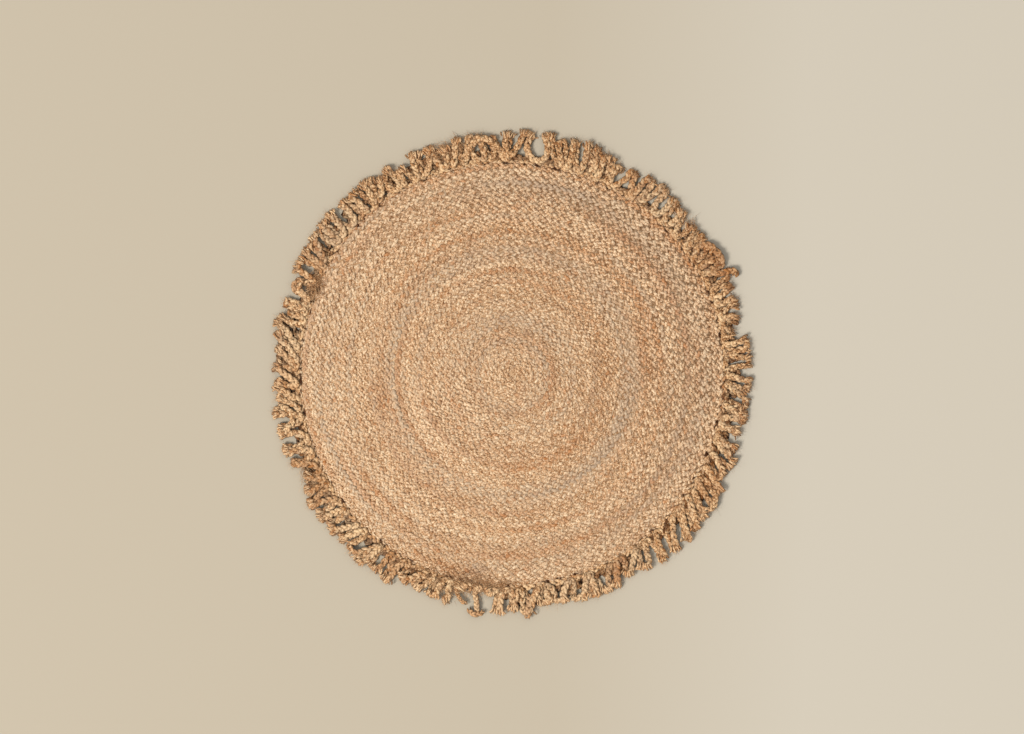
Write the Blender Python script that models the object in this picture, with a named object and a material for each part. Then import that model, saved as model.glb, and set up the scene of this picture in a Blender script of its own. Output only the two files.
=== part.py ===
"""Round jute rug: one plait coiled flat into a disc, and a plaited fringe of loops round its rim.

Metres, +Z up. The origin is the centre of the coil on the underside, and +Y is the side that lies
away from the viewer. Angles are in degrees, counter-clockwise from +X seen from above.
"""

import math
import random
from typing import NamedTuple

import bmesh
import bpy

OBJECT_NAME = "round_jute_rug"

# The disc: a plait that winds outwards clockwise.
BODY_RADIUS = 0.5232
ROUNDS = 39
ROUND_PITCH = BODY_RADIUS / ROUNDS
STEPS_PER_ROUND = 44
CREST_HEIGHT = 0.0088
VALLEY_HEIGHT = 0.0064

# The fringe: a strip along the rim, and loops of the same plait that stand out from it.
EDGE_GAP = 0.0003
STRIP_WIDTH = 0.0105
STRIP_HEIGHT = 0.0080
LOOPS = 87
LEG_WIDTH = 0.0112
LEG_OFFSET = 0.0100
HEAD_WIDTH = 0.0130
HEAD_HEIGHT = 0.0098
HEAD_HALF_SPAN = 0.0124
HEAD_ANGLES = (180, 135, 90, 45, 0)
LEAN_CURVE = 1.3
END_STEPS = (0.25, 0.5, 0.75, 1.0)
REACH_JITTER = 0.0035
SPAN_JITTER = 0.0006
JITTER_SEED = 7


class RimRow(NamedTuple):
    """How far the disc's edge stands off a true circle at one angle."""

    angle: float
    out_of_round: float


class FringeRow(NamedTuple):
    """The fringe at one angle: the radius of its tips, and how far heads stand off their roots."""

    angle: float
    tip_radius: float
    lean: float


class OddLoop(NamedTuple):
    """A loop that differs from its neighbours. An end is a single strand with a free tip."""

    angle: float
    is_end: bool
    tip_radius: float
    lean: float
    half_span: float


RIM = [
    RimRow(0, -0.001),
    RimRow(20, 0.005),
    RimRow(45, 0.000),
    RimRow(70, -0.004),
    RimRow(100, 0.002),
    RimRow(135, 0.007),
    RimRow(165, 0.000),
    RimRow(205, -0.001),
    RimRow(245, 0.002),
    RimRow(290, -0.002),
    RimRow(330, -0.001),
]

FRINGE = [
    FringeRow(0, 0.600, -0.003),
    FringeRow(20, 0.606, 0.001),
    FringeRow(36, 0.592, 0.004),
    FringeRow(50, 0.602, 0.000),
    FringeRow(70, 0.608, 0.007),
    FringeRow(85, 0.612, 0.001),
    FringeRow(100, 0.614, -0.001),
    FringeRow(116, 0.604, 0.000),
    FringeRow(128, 0.620, -0.006),
    FringeRow(142, 0.614, -0.012),
    FringeRow(156, 0.598, -0.017),
    FringeRow(172, 0.594, -0.022),
    FringeRow(186, 0.609, -0.018),
    FringeRow(200, 0.597, -0.006),
    FringeRow(215, 0.603, -0.003),
    FringeRow(232, 0.607, -0.008),
    FringeRow(244, 0.592, -0.004),
    FringeRow(254, 0.590, 0.000),
    FringeRow(268, 0.604, -0.003),
    FringeRow(280, 0.587, -0.006),
    FringeRow(292, 0.597, -0.009),
    FringeRow(304, 0.600, -0.012),
    FringeRow(318, 0.609, -0.012),
    FringeRow(332, 0.598, -0.008),
    FringeRow(345, 0.597, -0.006),
]

ODD_LOOPS = [
    OddLoop(9.5, False, 0.580, -0.001, 0.0115),
    OddLoop(24.0, False, 0.610, 0.002, 0.0112),
    OddLoop(117.0, False, 0.588, -0.001, 0.0115),
    OddLoop(133.0, False, 0.622, -0.008, 0.0115),
    OddLoop(157.0, False, 0.590, -0.0175, 0.0108),
    OddLoop(242.0, False, 0.588, -0.005, 0.0130),
    OddLoop(256.0, True, 0.578, 0.010, 0.0),
    OddLoop(260.6, True, 0.600, 0.004, 0.0),
    OddLoop(265.0, False, 0.603, -0.002, 0.0112),
    OddLoop(274.0, False, 0.605, -0.004, 0.0110),
]


def value_at(rows, column: str, angle: float) -> float:
    """Blends one column of a table of angles smoothly between its rows, and across 360 degrees."""
    angle %= 360.0
    later = next((i for i, row in enumerate(rows) if row.angle > angle), 0)
    before, after = rows[later - 1], rows[later]
    gap = (after.angle - before.angle) % 360.0
    share = ((angle - before.angle) % 360.0) / gap
    ease = (1.0 - math.cos(math.pi * share)) / 2.0
    start, end = getattr(before, column), getattr(after, column)
    return start + (end - start) * ease


def edge_radius(angle: float) -> float:
    """The radius of the disc's edge at an angle."""
    return BODY_RADIUS + value_at(RIM, "out_of_round", angle)


def plan_point(angle: float, radius: float, height: float) -> tuple:
    """A point given by its angle in degrees, its radius and its height."""
    turn = math.radians(angle)
    return radius * math.cos(turn), radius * math.sin(turn), height


def woven_material(name: str, colour: tuple, roughness: float):
    """A dull fibre material of one colour, given as linear red, green and blue."""
    material = bpy.data.materials.new(name)
    material.use_nodes = True
    shader = material.node_tree.nodes["Principled BSDF"]
    shader.inputs["Base Color"].default_value = (*colour, 1.0)
    shader.inputs["Roughness"].default_value = roughness
    shader.inputs["Metallic"].default_value = 0.0
    return material


def finish_object(name: str, mesh, material, collection):
    """Closes a bmesh into a named object with its faces pointing outwards."""
    bmesh.ops.recalc_face_normals(mesh, faces=mesh.faces)
    data = bpy.data.meshes.new(name)
    mesh.to_mesh(data)
    mesh.free()
    data.materials.append(material)
    piece = bpy.data.objects.new(name, data)
    collection.objects.link(piece)
    return piece


def coil_point(step: int, rounds_out: float, height: float) -> tuple:
    """A point on the coil: a step round it, and a number of rounds further out, up to the edge."""
    angle = -360.0 * step / STEPS_PER_ROUND
    rounds = step / STEPS_PER_ROUND + rounds_out
    share = min(rounds / ROUNDS, 1.0)
    return plan_point(angle, share * edge_radius(angle), height)


def build_braided_body(collection):
    """The disc: valleys and crests follow the coil, and the last round tapers into the rim."""
    mesh = bmesh.new()
    last_step = ROUNDS * STEPS_PER_ROUND
    taper_start = last_step - STEPS_PER_ROUND

    valleys = []
    for step in range(last_step + STEPS_PER_ROUND):
        valleys.append(mesh.verts.new(coil_point(step, 0.0, VALLEY_HEIGHT)))
    valleys.append(valleys[last_step])

    crests = [None]
    for step in range(1, last_step):
        width = 1.0 - max(0, step - taper_start) / STEPS_PER_ROUND
        rise = (CREST_HEIGHT - VALLEY_HEIGHT) * math.sqrt(width)
        crests.append(mesh.verts.new(coil_point(step, width / 2.0, VALLEY_HEIGHT + rise)))

    # The eye of the coil: a fan inside the first round, and the start of the first rib.
    for step in range(1, STEPS_PER_ROUND):
        mesh.faces.new((valleys[0], valleys[step], valleys[step + 1]))
    mesh.faces.new((valleys[0], valleys[STEPS_PER_ROUND], crests[1]))
    mesh.faces.new((valleys[STEPS_PER_ROUND], valleys[STEPS_PER_ROUND + 1], crests[1]))
    mesh.faces.new((valleys[0], crests[1], valleys[1]))

    for step in range(1, last_step - 1):
        inner, outer = valleys[step : step + 2], step + STEPS_PER_ROUND
        crest = crests[step : step + 2]
        mesh.faces.new((inner[0], crest[0], crest[1], inner[1]))
        mesh.faces.new((crest[0], valleys[outer], valleys[outer + 1], crest[1]))

    # The tail of the coil, where the last rib runs out at the rim.
    mesh.faces.new((valleys[last_step - 1], crests[-1], valleys[last_step]))
    mesh.faces.new((crests[-1], valleys[-2], valleys[-1]))

    rim = [edge for edge in mesh.edges if edge.is_boundary]
    wall = bmesh.ops.extrude_edge_only(mesh, edges=rim)["geom"]
    for vertex in wall:
        if isinstance(vertex, bmesh.types.BMVert):
            vertex.co.z = 0.0
    lower_rim = [edge for edge in wall if isinstance(edge, bmesh.types.BMEdge)]
    bmesh.ops.contextual_create(mesh, geom=lower_rim)

    material = woven_material("jute_plait", (0.584, 0.366, 0.205), 0.85)
    return finish_object("braided_body", mesh, material, collection)


class Slot(NamedTuple):
    """One place on the rim with its loop, worked out from the tables."""

    angle: float
    is_end: bool
    reach: float
    lean: float
    half_span: float


def fringe_slots() -> list:
    """A slot for each loop. The odd loops take the slots nearest to their angles."""
    chance = random.Random(JITTER_SEED)
    pitch = 360.0 / LOOPS
    odd = {round(row.angle / pitch) % LOOPS: row for row in ODD_LOOPS}
    slots = []
    for index in range(LOOPS):
        angle = index * pitch
        root = edge_radius(angle) + EDGE_GAP + STRIP_WIDTH
        tip = value_at(FRINGE, "tip_radius", angle) - abs(chance.gauss(0.0, REACH_JITTER))
        half_span = HEAD_HALF_SPAN + chance.uniform(-SPAN_JITTER, SPAN_JITTER)
        row = odd.get(index)
        if row:
            slots.append(Slot(angle, row.is_end, row.tip_radius - root, row.lean, row.half_span))
        else:
            lean = value_at(FRINGE, "lean", angle)
            slots.append(Slot(angle, False, tip - root, lean, half_span))
    return slots


def loop_route(slot: Slot) -> list:
    """The middle of a loop's plait from one root to the other, as (along the rim, outwards).

    Two legs that spread a little, joined by a half circle, and all of it sheared by the lean.
    """
    reach = slot.reach - HEAD_WIDTH / 2.0
    shoulder = reach - slot.half_span
    mid_span = (LEG_OFFSET + slot.half_span) / 2.0
    upright = [(-mid_span, shoulder / 2.0)]
    for degrees in HEAD_ANGLES:
        turn = math.radians(degrees)
        across, outwards = slot.half_span * math.cos(turn), slot.half_span * math.sin(turn)
        upright.append((across, shoulder + outwards))
    upright.append((mid_span, shoulder / 2.0))
    leaning = [(u + slot.lean * (v / reach) ** LEAN_CURVE, v) for u, v in upright]
    return [(-LEG_OFFSET, 0.0), *leaning, (LEG_OFFSET, 0.0)]


def end_route(slot: Slot) -> list:
    """The middle of a single strand, which bends towards its lean."""
    route = [(-LEG_OFFSET, 0.0)]
    for share in END_STEPS:
        route.append((slot.lean * share**LEAN_CURVE - LEG_OFFSET, slot.reach * share))
    return route


def cross_sections(slot: Slot, route: list) -> list:
    """Four-sided sections square to the route, all but the first, which is on the strip.

    Each is four points from the route's left foot over the top to its right foot.
    """
    root = edge_radius(slot.angle) + EDGE_GAP + STRIP_WIDTH
    turn = math.radians(slot.angle)
    out, along = (math.cos(turn), math.sin(turn)), (-math.sin(turn), math.cos(turn))
    furthest = max(outwards for _, outwards in route)
    sections = []
    for index in range(1, len(route)):
        before = route[index - 1]
        after = route[min(index + 1, len(route) - 1)]
        step = (after[0] - before[0], after[1] - before[1])
        length = math.hypot(*step)
        left = (-step[1] / length, step[0] / length)
        # Seen from above, the rim runs to the left of the way out, so the side is turned over.
        left = (-left[0], -left[1])
        share = (route[index][1] / furthest) ** 2
        half = (LEG_WIDTH + (HEAD_WIDTH - LEG_WIDTH) * share) / 2.0
        height = STRIP_HEIGHT + (HEAD_HEIGHT - STRIP_HEIGHT) * share
        section = []
        for side, level in ((1, 0.0), (1, height), (-1, height), (-1, 0.0)):
            shoulder = half * (0.82 if level else 1.0)
            u = route[index][0] + left[0] * side * shoulder
            v = route[index][1] + left[1] * side * shoulder + root
            section.append((out[0] * v + along[0] * u, out[1] * v + along[1] * u, level))
        sections.append(section)
    return sections


def strip_posts(mesh, slots: list) -> list:
    """Posts of four vertices across the strip: at both sides of each root, all the way round."""
    posts = []
    for slot in slots:
        for root in (-LEG_OFFSET, LEG_OFFSET):
            for side in (-LEG_WIDTH / 2.0, LEG_WIDTH / 2.0):
                angle = slot.angle + math.degrees((root + side) / BODY_RADIUS)
                inner = edge_radius(angle) + EDGE_GAP
                outer = inner + STRIP_WIDTH
                corners = ((inner, 0.0), (inner, STRIP_HEIGHT), (outer, STRIP_HEIGHT), (outer, 0.0))
                posts.append([mesh.verts.new(plan_point(angle, *corner)) for corner in corners])
    return posts


def bridge(mesh, start: list, end: list):
    """Joins two sections of four vertices by four faces."""
    for side in range(4):
        following = (side + 1) % 4
        mesh.faces.new((start[side], start[following], end[following], end[side]))


def build_loop_fringe(collection):
    """The strip along the rim and its loops, whose roots are the strip's own outer faces."""
    mesh = bmesh.new()
    slots = fringe_slots()
    posts = strip_posts(mesh, slots)
    open_roots = set()

    for index, slot in enumerate(slots):
        first = 4 * index
        right, left = posts[first], posts[first + 1]
        root = [left[3], left[2], right[2], right[3]]
        open_roots.add(first)
        route = end_route(slot) if slot.is_end else loop_route(slot)
        sections = cross_sections(slot, route)
        if not slot.is_end:
            sections.pop()
        rings = [root]
        for section in sections:
            rings.append([mesh.verts.new(point) for point in section])
        if slot.is_end:
            mesh.faces.new(rings[-1])
        else:
            left, right = posts[first + 2], posts[first + 3]
            rings.append([left[3], left[2], right[2], right[3]])
            open_roots.add(first + 2)
        for start, end in zip(rings, rings[1:]):
            bridge(mesh, start, end)

    for index, post in enumerate(posts):
        following = posts[(index + 1) % len(posts)]
        for side in range(4):
            if side == 2 and index in open_roots:
                continue
            corner = (side + 1) % 4
            mesh.faces.new((post[side], post[corner], following[corner], following[side]))

    material = woven_material("jute_fringe", (0.418, 0.242, 0.130), 0.9)
    return finish_object("loop_fringe", mesh, material, collection)


def clear_scene():
    """Removes whatever the scene holds."""
    for existing in list(bpy.data.objects):
        bpy.data.objects.remove(existing, do_unlink=True)


def main():
    """Builds the rug in its own collection."""
    clear_scene()
    collection = bpy.data.collections.new(OBJECT_NAME)
    bpy.context.scene.collection.children.link(collection)
    build_braided_body(collection)
    build_loop_fringe(collection)


main()
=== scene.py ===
"""Dresses the round jute rug: a three-strand plait coiled flat, and a plaited fringe of loops.

Metres, +Z up. Angles are in degrees, counter-clockwise from +X seen from above. Every surface is
worked out with numpy as whole arrays: a flattened tube is carried along a path, and the plait is
three such tubes that weave about one route. A wander is given by its strength, the length of its
steps and its seed.
"""

import logging
import math
from dataclasses import dataclass, field, replace
from enum import Enum
from typing import NamedTuple

import bpy
import numpy as np
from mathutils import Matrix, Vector


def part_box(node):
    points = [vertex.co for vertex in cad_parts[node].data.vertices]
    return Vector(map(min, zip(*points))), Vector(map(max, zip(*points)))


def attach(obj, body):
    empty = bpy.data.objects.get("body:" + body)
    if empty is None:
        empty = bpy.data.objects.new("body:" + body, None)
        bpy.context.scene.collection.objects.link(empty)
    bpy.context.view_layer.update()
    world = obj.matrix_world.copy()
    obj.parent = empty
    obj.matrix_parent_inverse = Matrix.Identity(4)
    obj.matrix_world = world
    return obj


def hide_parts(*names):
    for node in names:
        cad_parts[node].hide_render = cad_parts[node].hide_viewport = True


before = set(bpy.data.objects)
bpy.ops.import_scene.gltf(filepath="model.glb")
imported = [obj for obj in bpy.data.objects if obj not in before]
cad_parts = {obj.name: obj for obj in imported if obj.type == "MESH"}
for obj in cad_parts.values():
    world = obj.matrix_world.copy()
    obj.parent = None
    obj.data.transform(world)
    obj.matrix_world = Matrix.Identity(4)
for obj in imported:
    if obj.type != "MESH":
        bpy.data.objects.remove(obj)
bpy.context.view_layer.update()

LOG = logging.getLogger("round_jute_rug")
BODY = "root"
BAKE_MAP = "OFBake"
TURN = 2.0 * math.pi
MM = 0.001
UP = np.array([0.0, 0.0, 1.0])

# The heights that the pieces keep between, and the steps in the count along the strands from one
# strand of a plait to the next and from one loose fibre to the next, so that no two share theirs.
LOWEST = 0.3 * MM
HIGHEST = 18.5 * MM
STRAND_GAP = 131.0
FIBRE_GAP = 0.37

# The picture: its size in pixels, the coil's centre in it, and how much rug one pixel covers.
PICTURE_WIDTH = 1024
PICTURE_HEIGHT = 734
COIL_CENTRE_PX = (511.5, 374.0)
METRES_PER_PIXEL = 0.002469


class Carried(Enum):
    """The values that a surface carries from point to point for its material to read."""

    TONE = "tone"
    ASH = "ash"
    RUST = "rust"
    # Painted shade: how far a point is darkened towards the shade colour, where shade falls between
    # strands and plies.
    DEPTH = "depth"
    PLY = "ply"


class Tier(Enum):
    """The two tiers of the fringe's loops, and the names of their pieces."""

    LOWER = "fringe_underlay"
    UPPER = "fringe_plait"


class RimRow(NamedTuple):
    """How far the disc's edge stands off a true circle at one angle."""

    angle: float
    out_of_round: float


class LoopRow(NamedTuple):
    """One loop of the fringe.

    The angle of its head, its tip's radius, how far its head leans along the rim, how far its
    legs close in on one another, how thick the brush of loose fibre on its head is, up to 1, and
    how far the loop of the lower tier beside it reaches, as a share of its own reach.
    """

    head: float
    tip_radius: float
    lean: float
    spread: float
    brush: float
    under: float

    @property
    def angle(self) -> float:
        """The angle of its foot."""
        return self.head - math.degrees(self.lean / 0.58)


class CordRow(NamedTuple):
    """A loose cord: how thick it is against the fringe's plait, and its path.

    Each place on the path is an angle in degrees, a radius and a height in metres.
    """

    scale: float
    path: tuple


class TuftRow(NamedTuple):
    """A tuft of loose fibre on the rug: where it lies, how wide it is, and its fibres."""

    angle: float
    radius: float
    along: float
    across: float
    fibres: int


class PatchRow(NamedTuple):
    """A stained place or a place of wear: where it lies, how wide it is, and what it adds to the
    colour.
    """

    angle: float
    radius: float
    along: float
    across: float
    tone: float
    ash: float
    rust: float


class DriftRow(NamedTuple):
    """A drift of one carried value along the strands.

    How strong it is, its length, what is added to the seed, what it has to pass before it shows
    (None: it goes both ways), and whether a plait's three strands share it.
    """

    key: Carried
    strength: float
    length: float
    draw: int
    threshold: float | None
    shared: bool


class BandRow(NamedTuple):
    """A change in the yarn at one radius of the coil."""

    radius: float
    tone: float
    ash: float
    rust: float


def table(kind: type, rows: tuple) -> tuple:
    """The rows of a table, each made into its kind."""
    return tuple(kind(*row) for row in rows)


RIM = table(RimRow, (
    (0, -0.001), (20, 0.005), (45, 0), (70, -0.004), (100, 0.002), (135, 0.007), (165, 0),
    (205, -0.001), (245, 0.002), (290, -0.002), (330, -0.001),
))

LOOPS = table(LoopRow, (
    (2.9, 0.6, 0, 0, 0.4, 0.6), (6.9, 0.599, 0.012, 0.002, 0.4, 0.6), (11, 0.566, 0, 0, 0.3, 0.5),
    (14.6, 0.585, 0, 0, 0.3, 0.7), (18.4, 0.593, 0, -0.004, 0.3, 0.1),
    (21.8, 0.593, 0, 0, 0.3, 0.7), (24.8, 0.6, 0, 0.003, 0.2, 0.7), (28.2, 0.594, 0, 0, 0.3, 0.8),
    (31.8, 0.597, 0, 0, 0.3, 0.8), (35.4, 0.593, 0, 0, 0.3, 0.7), (39.1, 0.588, 0.006, 0, 0.4, 0.4),
    (43, 0.595, 0.01, 0, 0.5, 0.3), (46.8, 0.6, 0.006, -0.003, 0.4, 0.2),
    (50.4, 0.602, -0.014, 0.002, 0.3, 0.1), (54.8, 0.604, 0, -0.004, 0.4, 0.1),
    (59.2, 0.594, 0.012, 0.003, 0.3, 0.1), (62.6, 0.588, -0.01, 0.003, 0.3, 0.1),
    (66, 0.6, 0, 0, 0.4, 0.6), (68.9, 0.605, 0.006, 0.003, 0.2, 0.7),
    (71.6, 0.61, 0.01, 0.004, 0.2, 0.3), (74.4, 0.607, 0.012, 0.002, 0.3, 0.1),
    (77.6, 0.599, 0.01, 0, 0.5, 0.1), (81.6, 0.607, 0.018, 0.003, 0.3, 0.1),
    (86.3, 0.609, -0.024, 0.003, 0.3, 0), (91, 0.602, -0.004, 0, 0.4, 0.1),
    (94.6, 0.597, 0.006, 0.003, 0.4, 0.5), (97.6, 0.604, 0.012, 0.004, 0.2, 0.3),
    (99.8, 0.606, -0.018, 0.004, 0.2, 0.3), (103, 0.606, -0.01, 0.002, 0.6, 0.7),
    (106.4, 0.592, 0, 0, 0.9, 0.9), (110.1, 0.604, -0.002, 0, 0.6, 0.7),
    (113.9, 0.606, 0.002, 0.001, 0.6, 0.5), (118, 0.586, 0, 0, 0.6, 0.8),
    (121, 0.603, 0, 0.002, 0.5, 0.8), (123.9, 0.594, 0, 0.002, 0.6, 0.8),
    (127.2, 0.608, 0, -0.002, 0.5, 0.6), (131.7, 0.606, -0.002, -0.003, 0.5, 0.2),
    (134.9, 0.605, -0.004, 0.001, 0.6, 0.7), (138.2, 0.608, -0.006, 0, 0.6, 0.7),
    (141.6, 0.609, -0.008, -0.002, 0.5, 0.3), (144.9, 0.606, -0.01, 0, 0.6, 0.6),
    (148, 0.606, -0.01, 0.002, 0.6, 0.6), (152.8, 0.607, -0.004, -0.005, 0.6, 0.1),
    (157.4, 0.582, 0, 0, 0.2, 0.5), (162.8, 0.599, 0.026, 0.005, 0.1, 0.2),
    (164.6, 0.578, 0, 0, 0.2, 0.4), (166.6, 0.6, -0.034, 0.002, 0.6, 0.9),
    (170.2, 0.596, -0.038, 0.002, 0.7, 0.9), (173.8, 0.592, -0.038, 0.002, 0.7, 0.9),
    (177.6, 0.594, -0.036, 0.002, 0.7, 0.9), (182.2, 0.593, -0.02, 0, 0.5, 0.4),
    (186, 0.589, -0.01, -0.003, 0.3, 0.6), (189.3, 0.604, -0.012, 0.003, 0.5, 0.4),
    (194, 0.6, 0.002, 0, 0.5, 0.3), (198.6, 0.602, -0.018, 0.001, 0.5, 0.4),
    (202.2, 0.596, -0.026, 0.004, 0.3, 0.5), (206.8, 0.579, -0.01, 0, 0.8, 0.8),
    (210, 0.593, -0.008, 0.001, 1, 0.6), (213.4, 0.602, -0.008, 0.001, 1, 0.5),
    (216.9, 0.602, -0.008, 0.001, 1, 0.5), (220.6, 0.595, -0.006, 0, 1, 0.6),
    (224.2, 0.596, -0.008, 0, 1, 0.6), (227.8, 0.597, -0.012, -0.005, 0.5, 0),
    (231.2, 0.607, -0.014, 0.003, 0.6, 0.5), (234.8, 0.599, -0.014, -0.005, 0.5, 0),
    (238.4, 0.607, -0.014, 0.001, 0.7, 0.5), (242.4, 0.583, -0.01, 0, 1, 0.8),
    (246, 0.588, -0.006, 0, 1, 0.8), (250.2, 0.593, 0, -0.004, 0.9, 0.1),
    (253.6, 0.597, 0, 0.004, 0.3, 0.2), (257, 0.552, 0, 0, 0.6, 0.5), (260.4, 0.55, 0, 0, 0.6, 0.5),
    (263.6, 0.552, 0, 0, 0.6, 0.5), (266.4, 0.6, -0.004, 0.001, 0.4, 0.2),
    (269.8, 0.591, -0.006, 0, 0.6, 0.6), (273.6, 0.603, -0.004, 0.001, 0.3, 0.7),
    (277.8, 0.583, -0.006, 0, 0.7, 0.7), (281.9, 0.585, -0.01, 0, 0.6, 0.7),
    (286.5, 0.59, -0.014, 0.001, 0.6, 0.6), (290.3, 0.593, -0.016, 0, 0.5, 0.4),
    (293.8, 0.597, -0.018, -0.002, 0.4, 0.1), (297, 0.594, -0.02, 0.001, 0.5, 0.6),
    (300.6, 0.584, -0.022, 0, 0.6, 0.6), (304.8, 0.592, -0.024, -0.005, 0.4, 0),
    (309.4, 0.603, -0.028, 0.003, 0.4, 0.2), (313.3, 0.604, -0.028, 0.001, 0.4, 0.3),
    (317, 0.607, -0.026, 0.002, 0.3, 0.3), (320.2, 0.605, -0.024, 0.002, 0.3, 0.3),
    (323.6, 0.603, -0.02, 0.002, 0.3, 0.4), (327.2, 0.608, -0.018, 0, 0.3, 0.6),
    (330.6, 0.6, -0.016, -0.001, 0.3, 0.5), (334.2, 0.588, -0.014, 0, 0.5, 0.6),
    (338, 0.601, -0.012, -0.004, 0.6, 0), (341.6, 0.594, -0.01, 0.001, 0.8, 0.6),
    (345.2, 0.589, -0.012, 0, 0.5, 0.4), (349.3, 0.598, -0.012, 0, 0.5, 0.4),
    (353.4, 0.595, -0.01, -0.002, 0.3, 0.6), (357.2, 0.598, -0.008, 0.001, 0.6, 0.4),
))

CORDS = (
    CordRow(0.80, ((260.4, 0.538, 0.006), (260.8, 0.556, 0.009), (261.5, 0.577, 0.011),
                   (261.7, 0.594, 0.009))),
    CordRow(0.78, ((263.3, 0.588, 0.008), (262.6, 0.596, 0.011), (261.4, 0.600, 0.013),
                   (260.2, 0.596, 0.011), (259.6, 0.587, 0.008))),
    CordRow(0.62, ((255.0, 0.538, 0.006), (255.8, 0.554, 0.009), (257.2, 0.570, 0.011),
                   (258.4, 0.577, 0.010), (259.1, 0.574, 0.007))),
    CordRow(0.95, ((25.9, 0.560, 0.007), (25.6, 0.580, 0.012), (25.2, 0.600, 0.013),
                   (24.4, 0.610, 0.011), (23.6, 0.600, 0.009))),
    CordRow(1.00, ((34.2, 0.562, 0.007), (33.4, 0.582, 0.013), (31.0, 0.590, 0.014),
                   (28.4, 0.590, 0.014), (26.8, 0.578, 0.008))),
    CordRow(0.75, ((159.4, 0.558, 0.007), (159.0, 0.574, 0.012), (157.2, 0.582, 0.012),
                   (155.8, 0.572, 0.011), (156.6, 0.560, 0.008))),
    CordRow(0.95, ((274.8, 0.545, 0.007), (274.3, 0.570, 0.013), (274.0, 0.592, 0.013),
                   (273.6, 0.604, 0.010))),
    CordRow(1.00, ((102.6, 0.540, 0.008), (100.6, 0.566, 0.012), (98.0, 0.588, 0.014),
                   (96.4, 0.586, 0.014), (94.0, 0.564, 0.012), (91.6, 0.540, 0.008))),
    CordRow(0.90, ((329.8, 0.560, 0.010), (329.6, 0.584, 0.014), (327.0, 0.598, 0.014),
                   (324.8, 0.588, 0.013), (325.0, 0.566, 0.010))),
    CordRow(0.90, ((194.6, 0.582, 0.012), (193.4, 0.560, 0.013), (191.0, 0.546, 0.012),
                   (188.6, 0.560, 0.013), (187.6, 0.582, 0.012))),
)

TUFTS = table(TuftRow, (
    (155, 0.532, 0.02, 0.008, 220), (260, 0.526, 0.045, 0.01, 420), (251, 0.548, 0.035, 0.01, 220),
    (105, 0.572, 0.03, 0.008, 240), (38, 0.568, 0.05, 0.008, 160), (206, 0.56, 0.02, 0.008, 160),
    (66, 0.568, 0.02, 0.008, 120),
))

BANDS = table(BandRow, (
    (0, -0.24, 0, 0), (0.03, -0.05, 0, 0), (0.06, -0.05, 0.2, 0), (0.093, -0.06, 0.4, 0),
    (0.155, -0.06, 0.2, 0), (0.21, -0.11, 0, 0), (0.235, -0.04, 0, 0), (0.276, -0.05, 0, 0),
    (0.282, -0.02, 0.6, 0), (0.31, -0.03, 0.8, 0), (0.318, -0.06, 0.4, 0.2), (0.345, -0.04, 0, 0.1),
    (0.352, -0.04, 0, 0), (0.4, -0.04, 0, 0), (0.44, -0.03, 0.3, 0), (0.47, -0.02, 0.4, 0),
    (0.5, 0, 0.2, 0), (0.516, -0.03, 0, 0), (0.53, 0.02, 0, 0),
))

PATCHES = table(PatchRow, (
    (260, 0.488, 0.022, 0.014, -0.25, 1, 0), (252, 0.5, 0.09, 0.014, -0.3, 0, 0.5),
    (40, 0.455, 0.18, 0.03, -0.03, 0.5, 0), (80, 0.47, 0.16, 0.014, -0.03, 0.6, 0),
    (345, 0.44, 0.16, 0.04, -0.04, 0.2, 0), (325, 0.42, 0.16, 0.08, 0, -0.2, 0.2),
    (112, 0.26, 0.08, 0.03, 0.1, 0, 0), (37, 0.19, 0.07, 0.035, 0.08, 0, 0),
    (200, 0.46, 0.24, 0.06, 0.06, 0, 0), (10, 0.33, 0.08, 0.016, -0.15, 0, 0.6),
    (190, 0.33, 0.06, 0.012, -0.08, 0, 0.9), (120, 0.42, 0.06, 0.01, -0.06, 0, 0.8),
    (155, 0.534, 0.026, 0.012, 0, 0, 0.7), (264, 0.58, 0.08, 0.03, 0.32, 0, 0.5),
    (288, 0.58, 0.26, 0.03, 0.36, -0.2, 0.4), (68, 0.57, 0.11, 0.03, -0.09, 0, 0.2),
    (248, 0.532, 0.07, 0.014, -0.1, 0, 0), (325, 0.565, 0.16, 0.03, -0.08, 0, 0.3),
    (95, 0.56, 0.34, 0.03, -0.12, 0, 0.3), (212, 0.58, 0.22, 0.03, 0.1, 0.3, 0),
    (172, 0.575, 0.09, 0.03, 0.1, 0.5, 0), (25, 0.58, 0.18, 0.03, -0.16, 0, 0.5),
    (352, 0.575, 0.12, 0.03, -0.1, 0.3, 0),
))

DRIFTS = table(DriftRow, (
    (Carried.TONE, 0.08, 0.45, 0, None, False),
    (Carried.TONE, 0.10, 0.5, 5, None, True),
    (Carried.TONE, 0.17, 0.012, 1, None, False),
    (Carried.ASH, 0.12, 0.3, 2, None, False),
    (Carried.ASH, 0.36, 0.014, 4, 0.1, False),
    (Carried.ASH, 0.45, 0.4, 6, 0.2, True),
    (Carried.RUST, 1.5, 0.024, 3, 0.62, False),
    (Carried.RUST, 0.9, 0.3, 7, 0.4, True),
))

# The yarn's usual tone, how dark the painted shade between strands is, how strongly bands and
# patches grey or redden it, and the painted light: the side of the rug that the light favours is
# painted paler, from a certain radius on.
YARN_TONE = 0.49
CREVICE_SHADE = 0.46
ASH_SHARE = 0.45
RUST_SHARE = 0.35
LIT_ANGLE = 195.0
LIT_TONE = 0.04
LIT_RADIUS = 0.45


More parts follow.
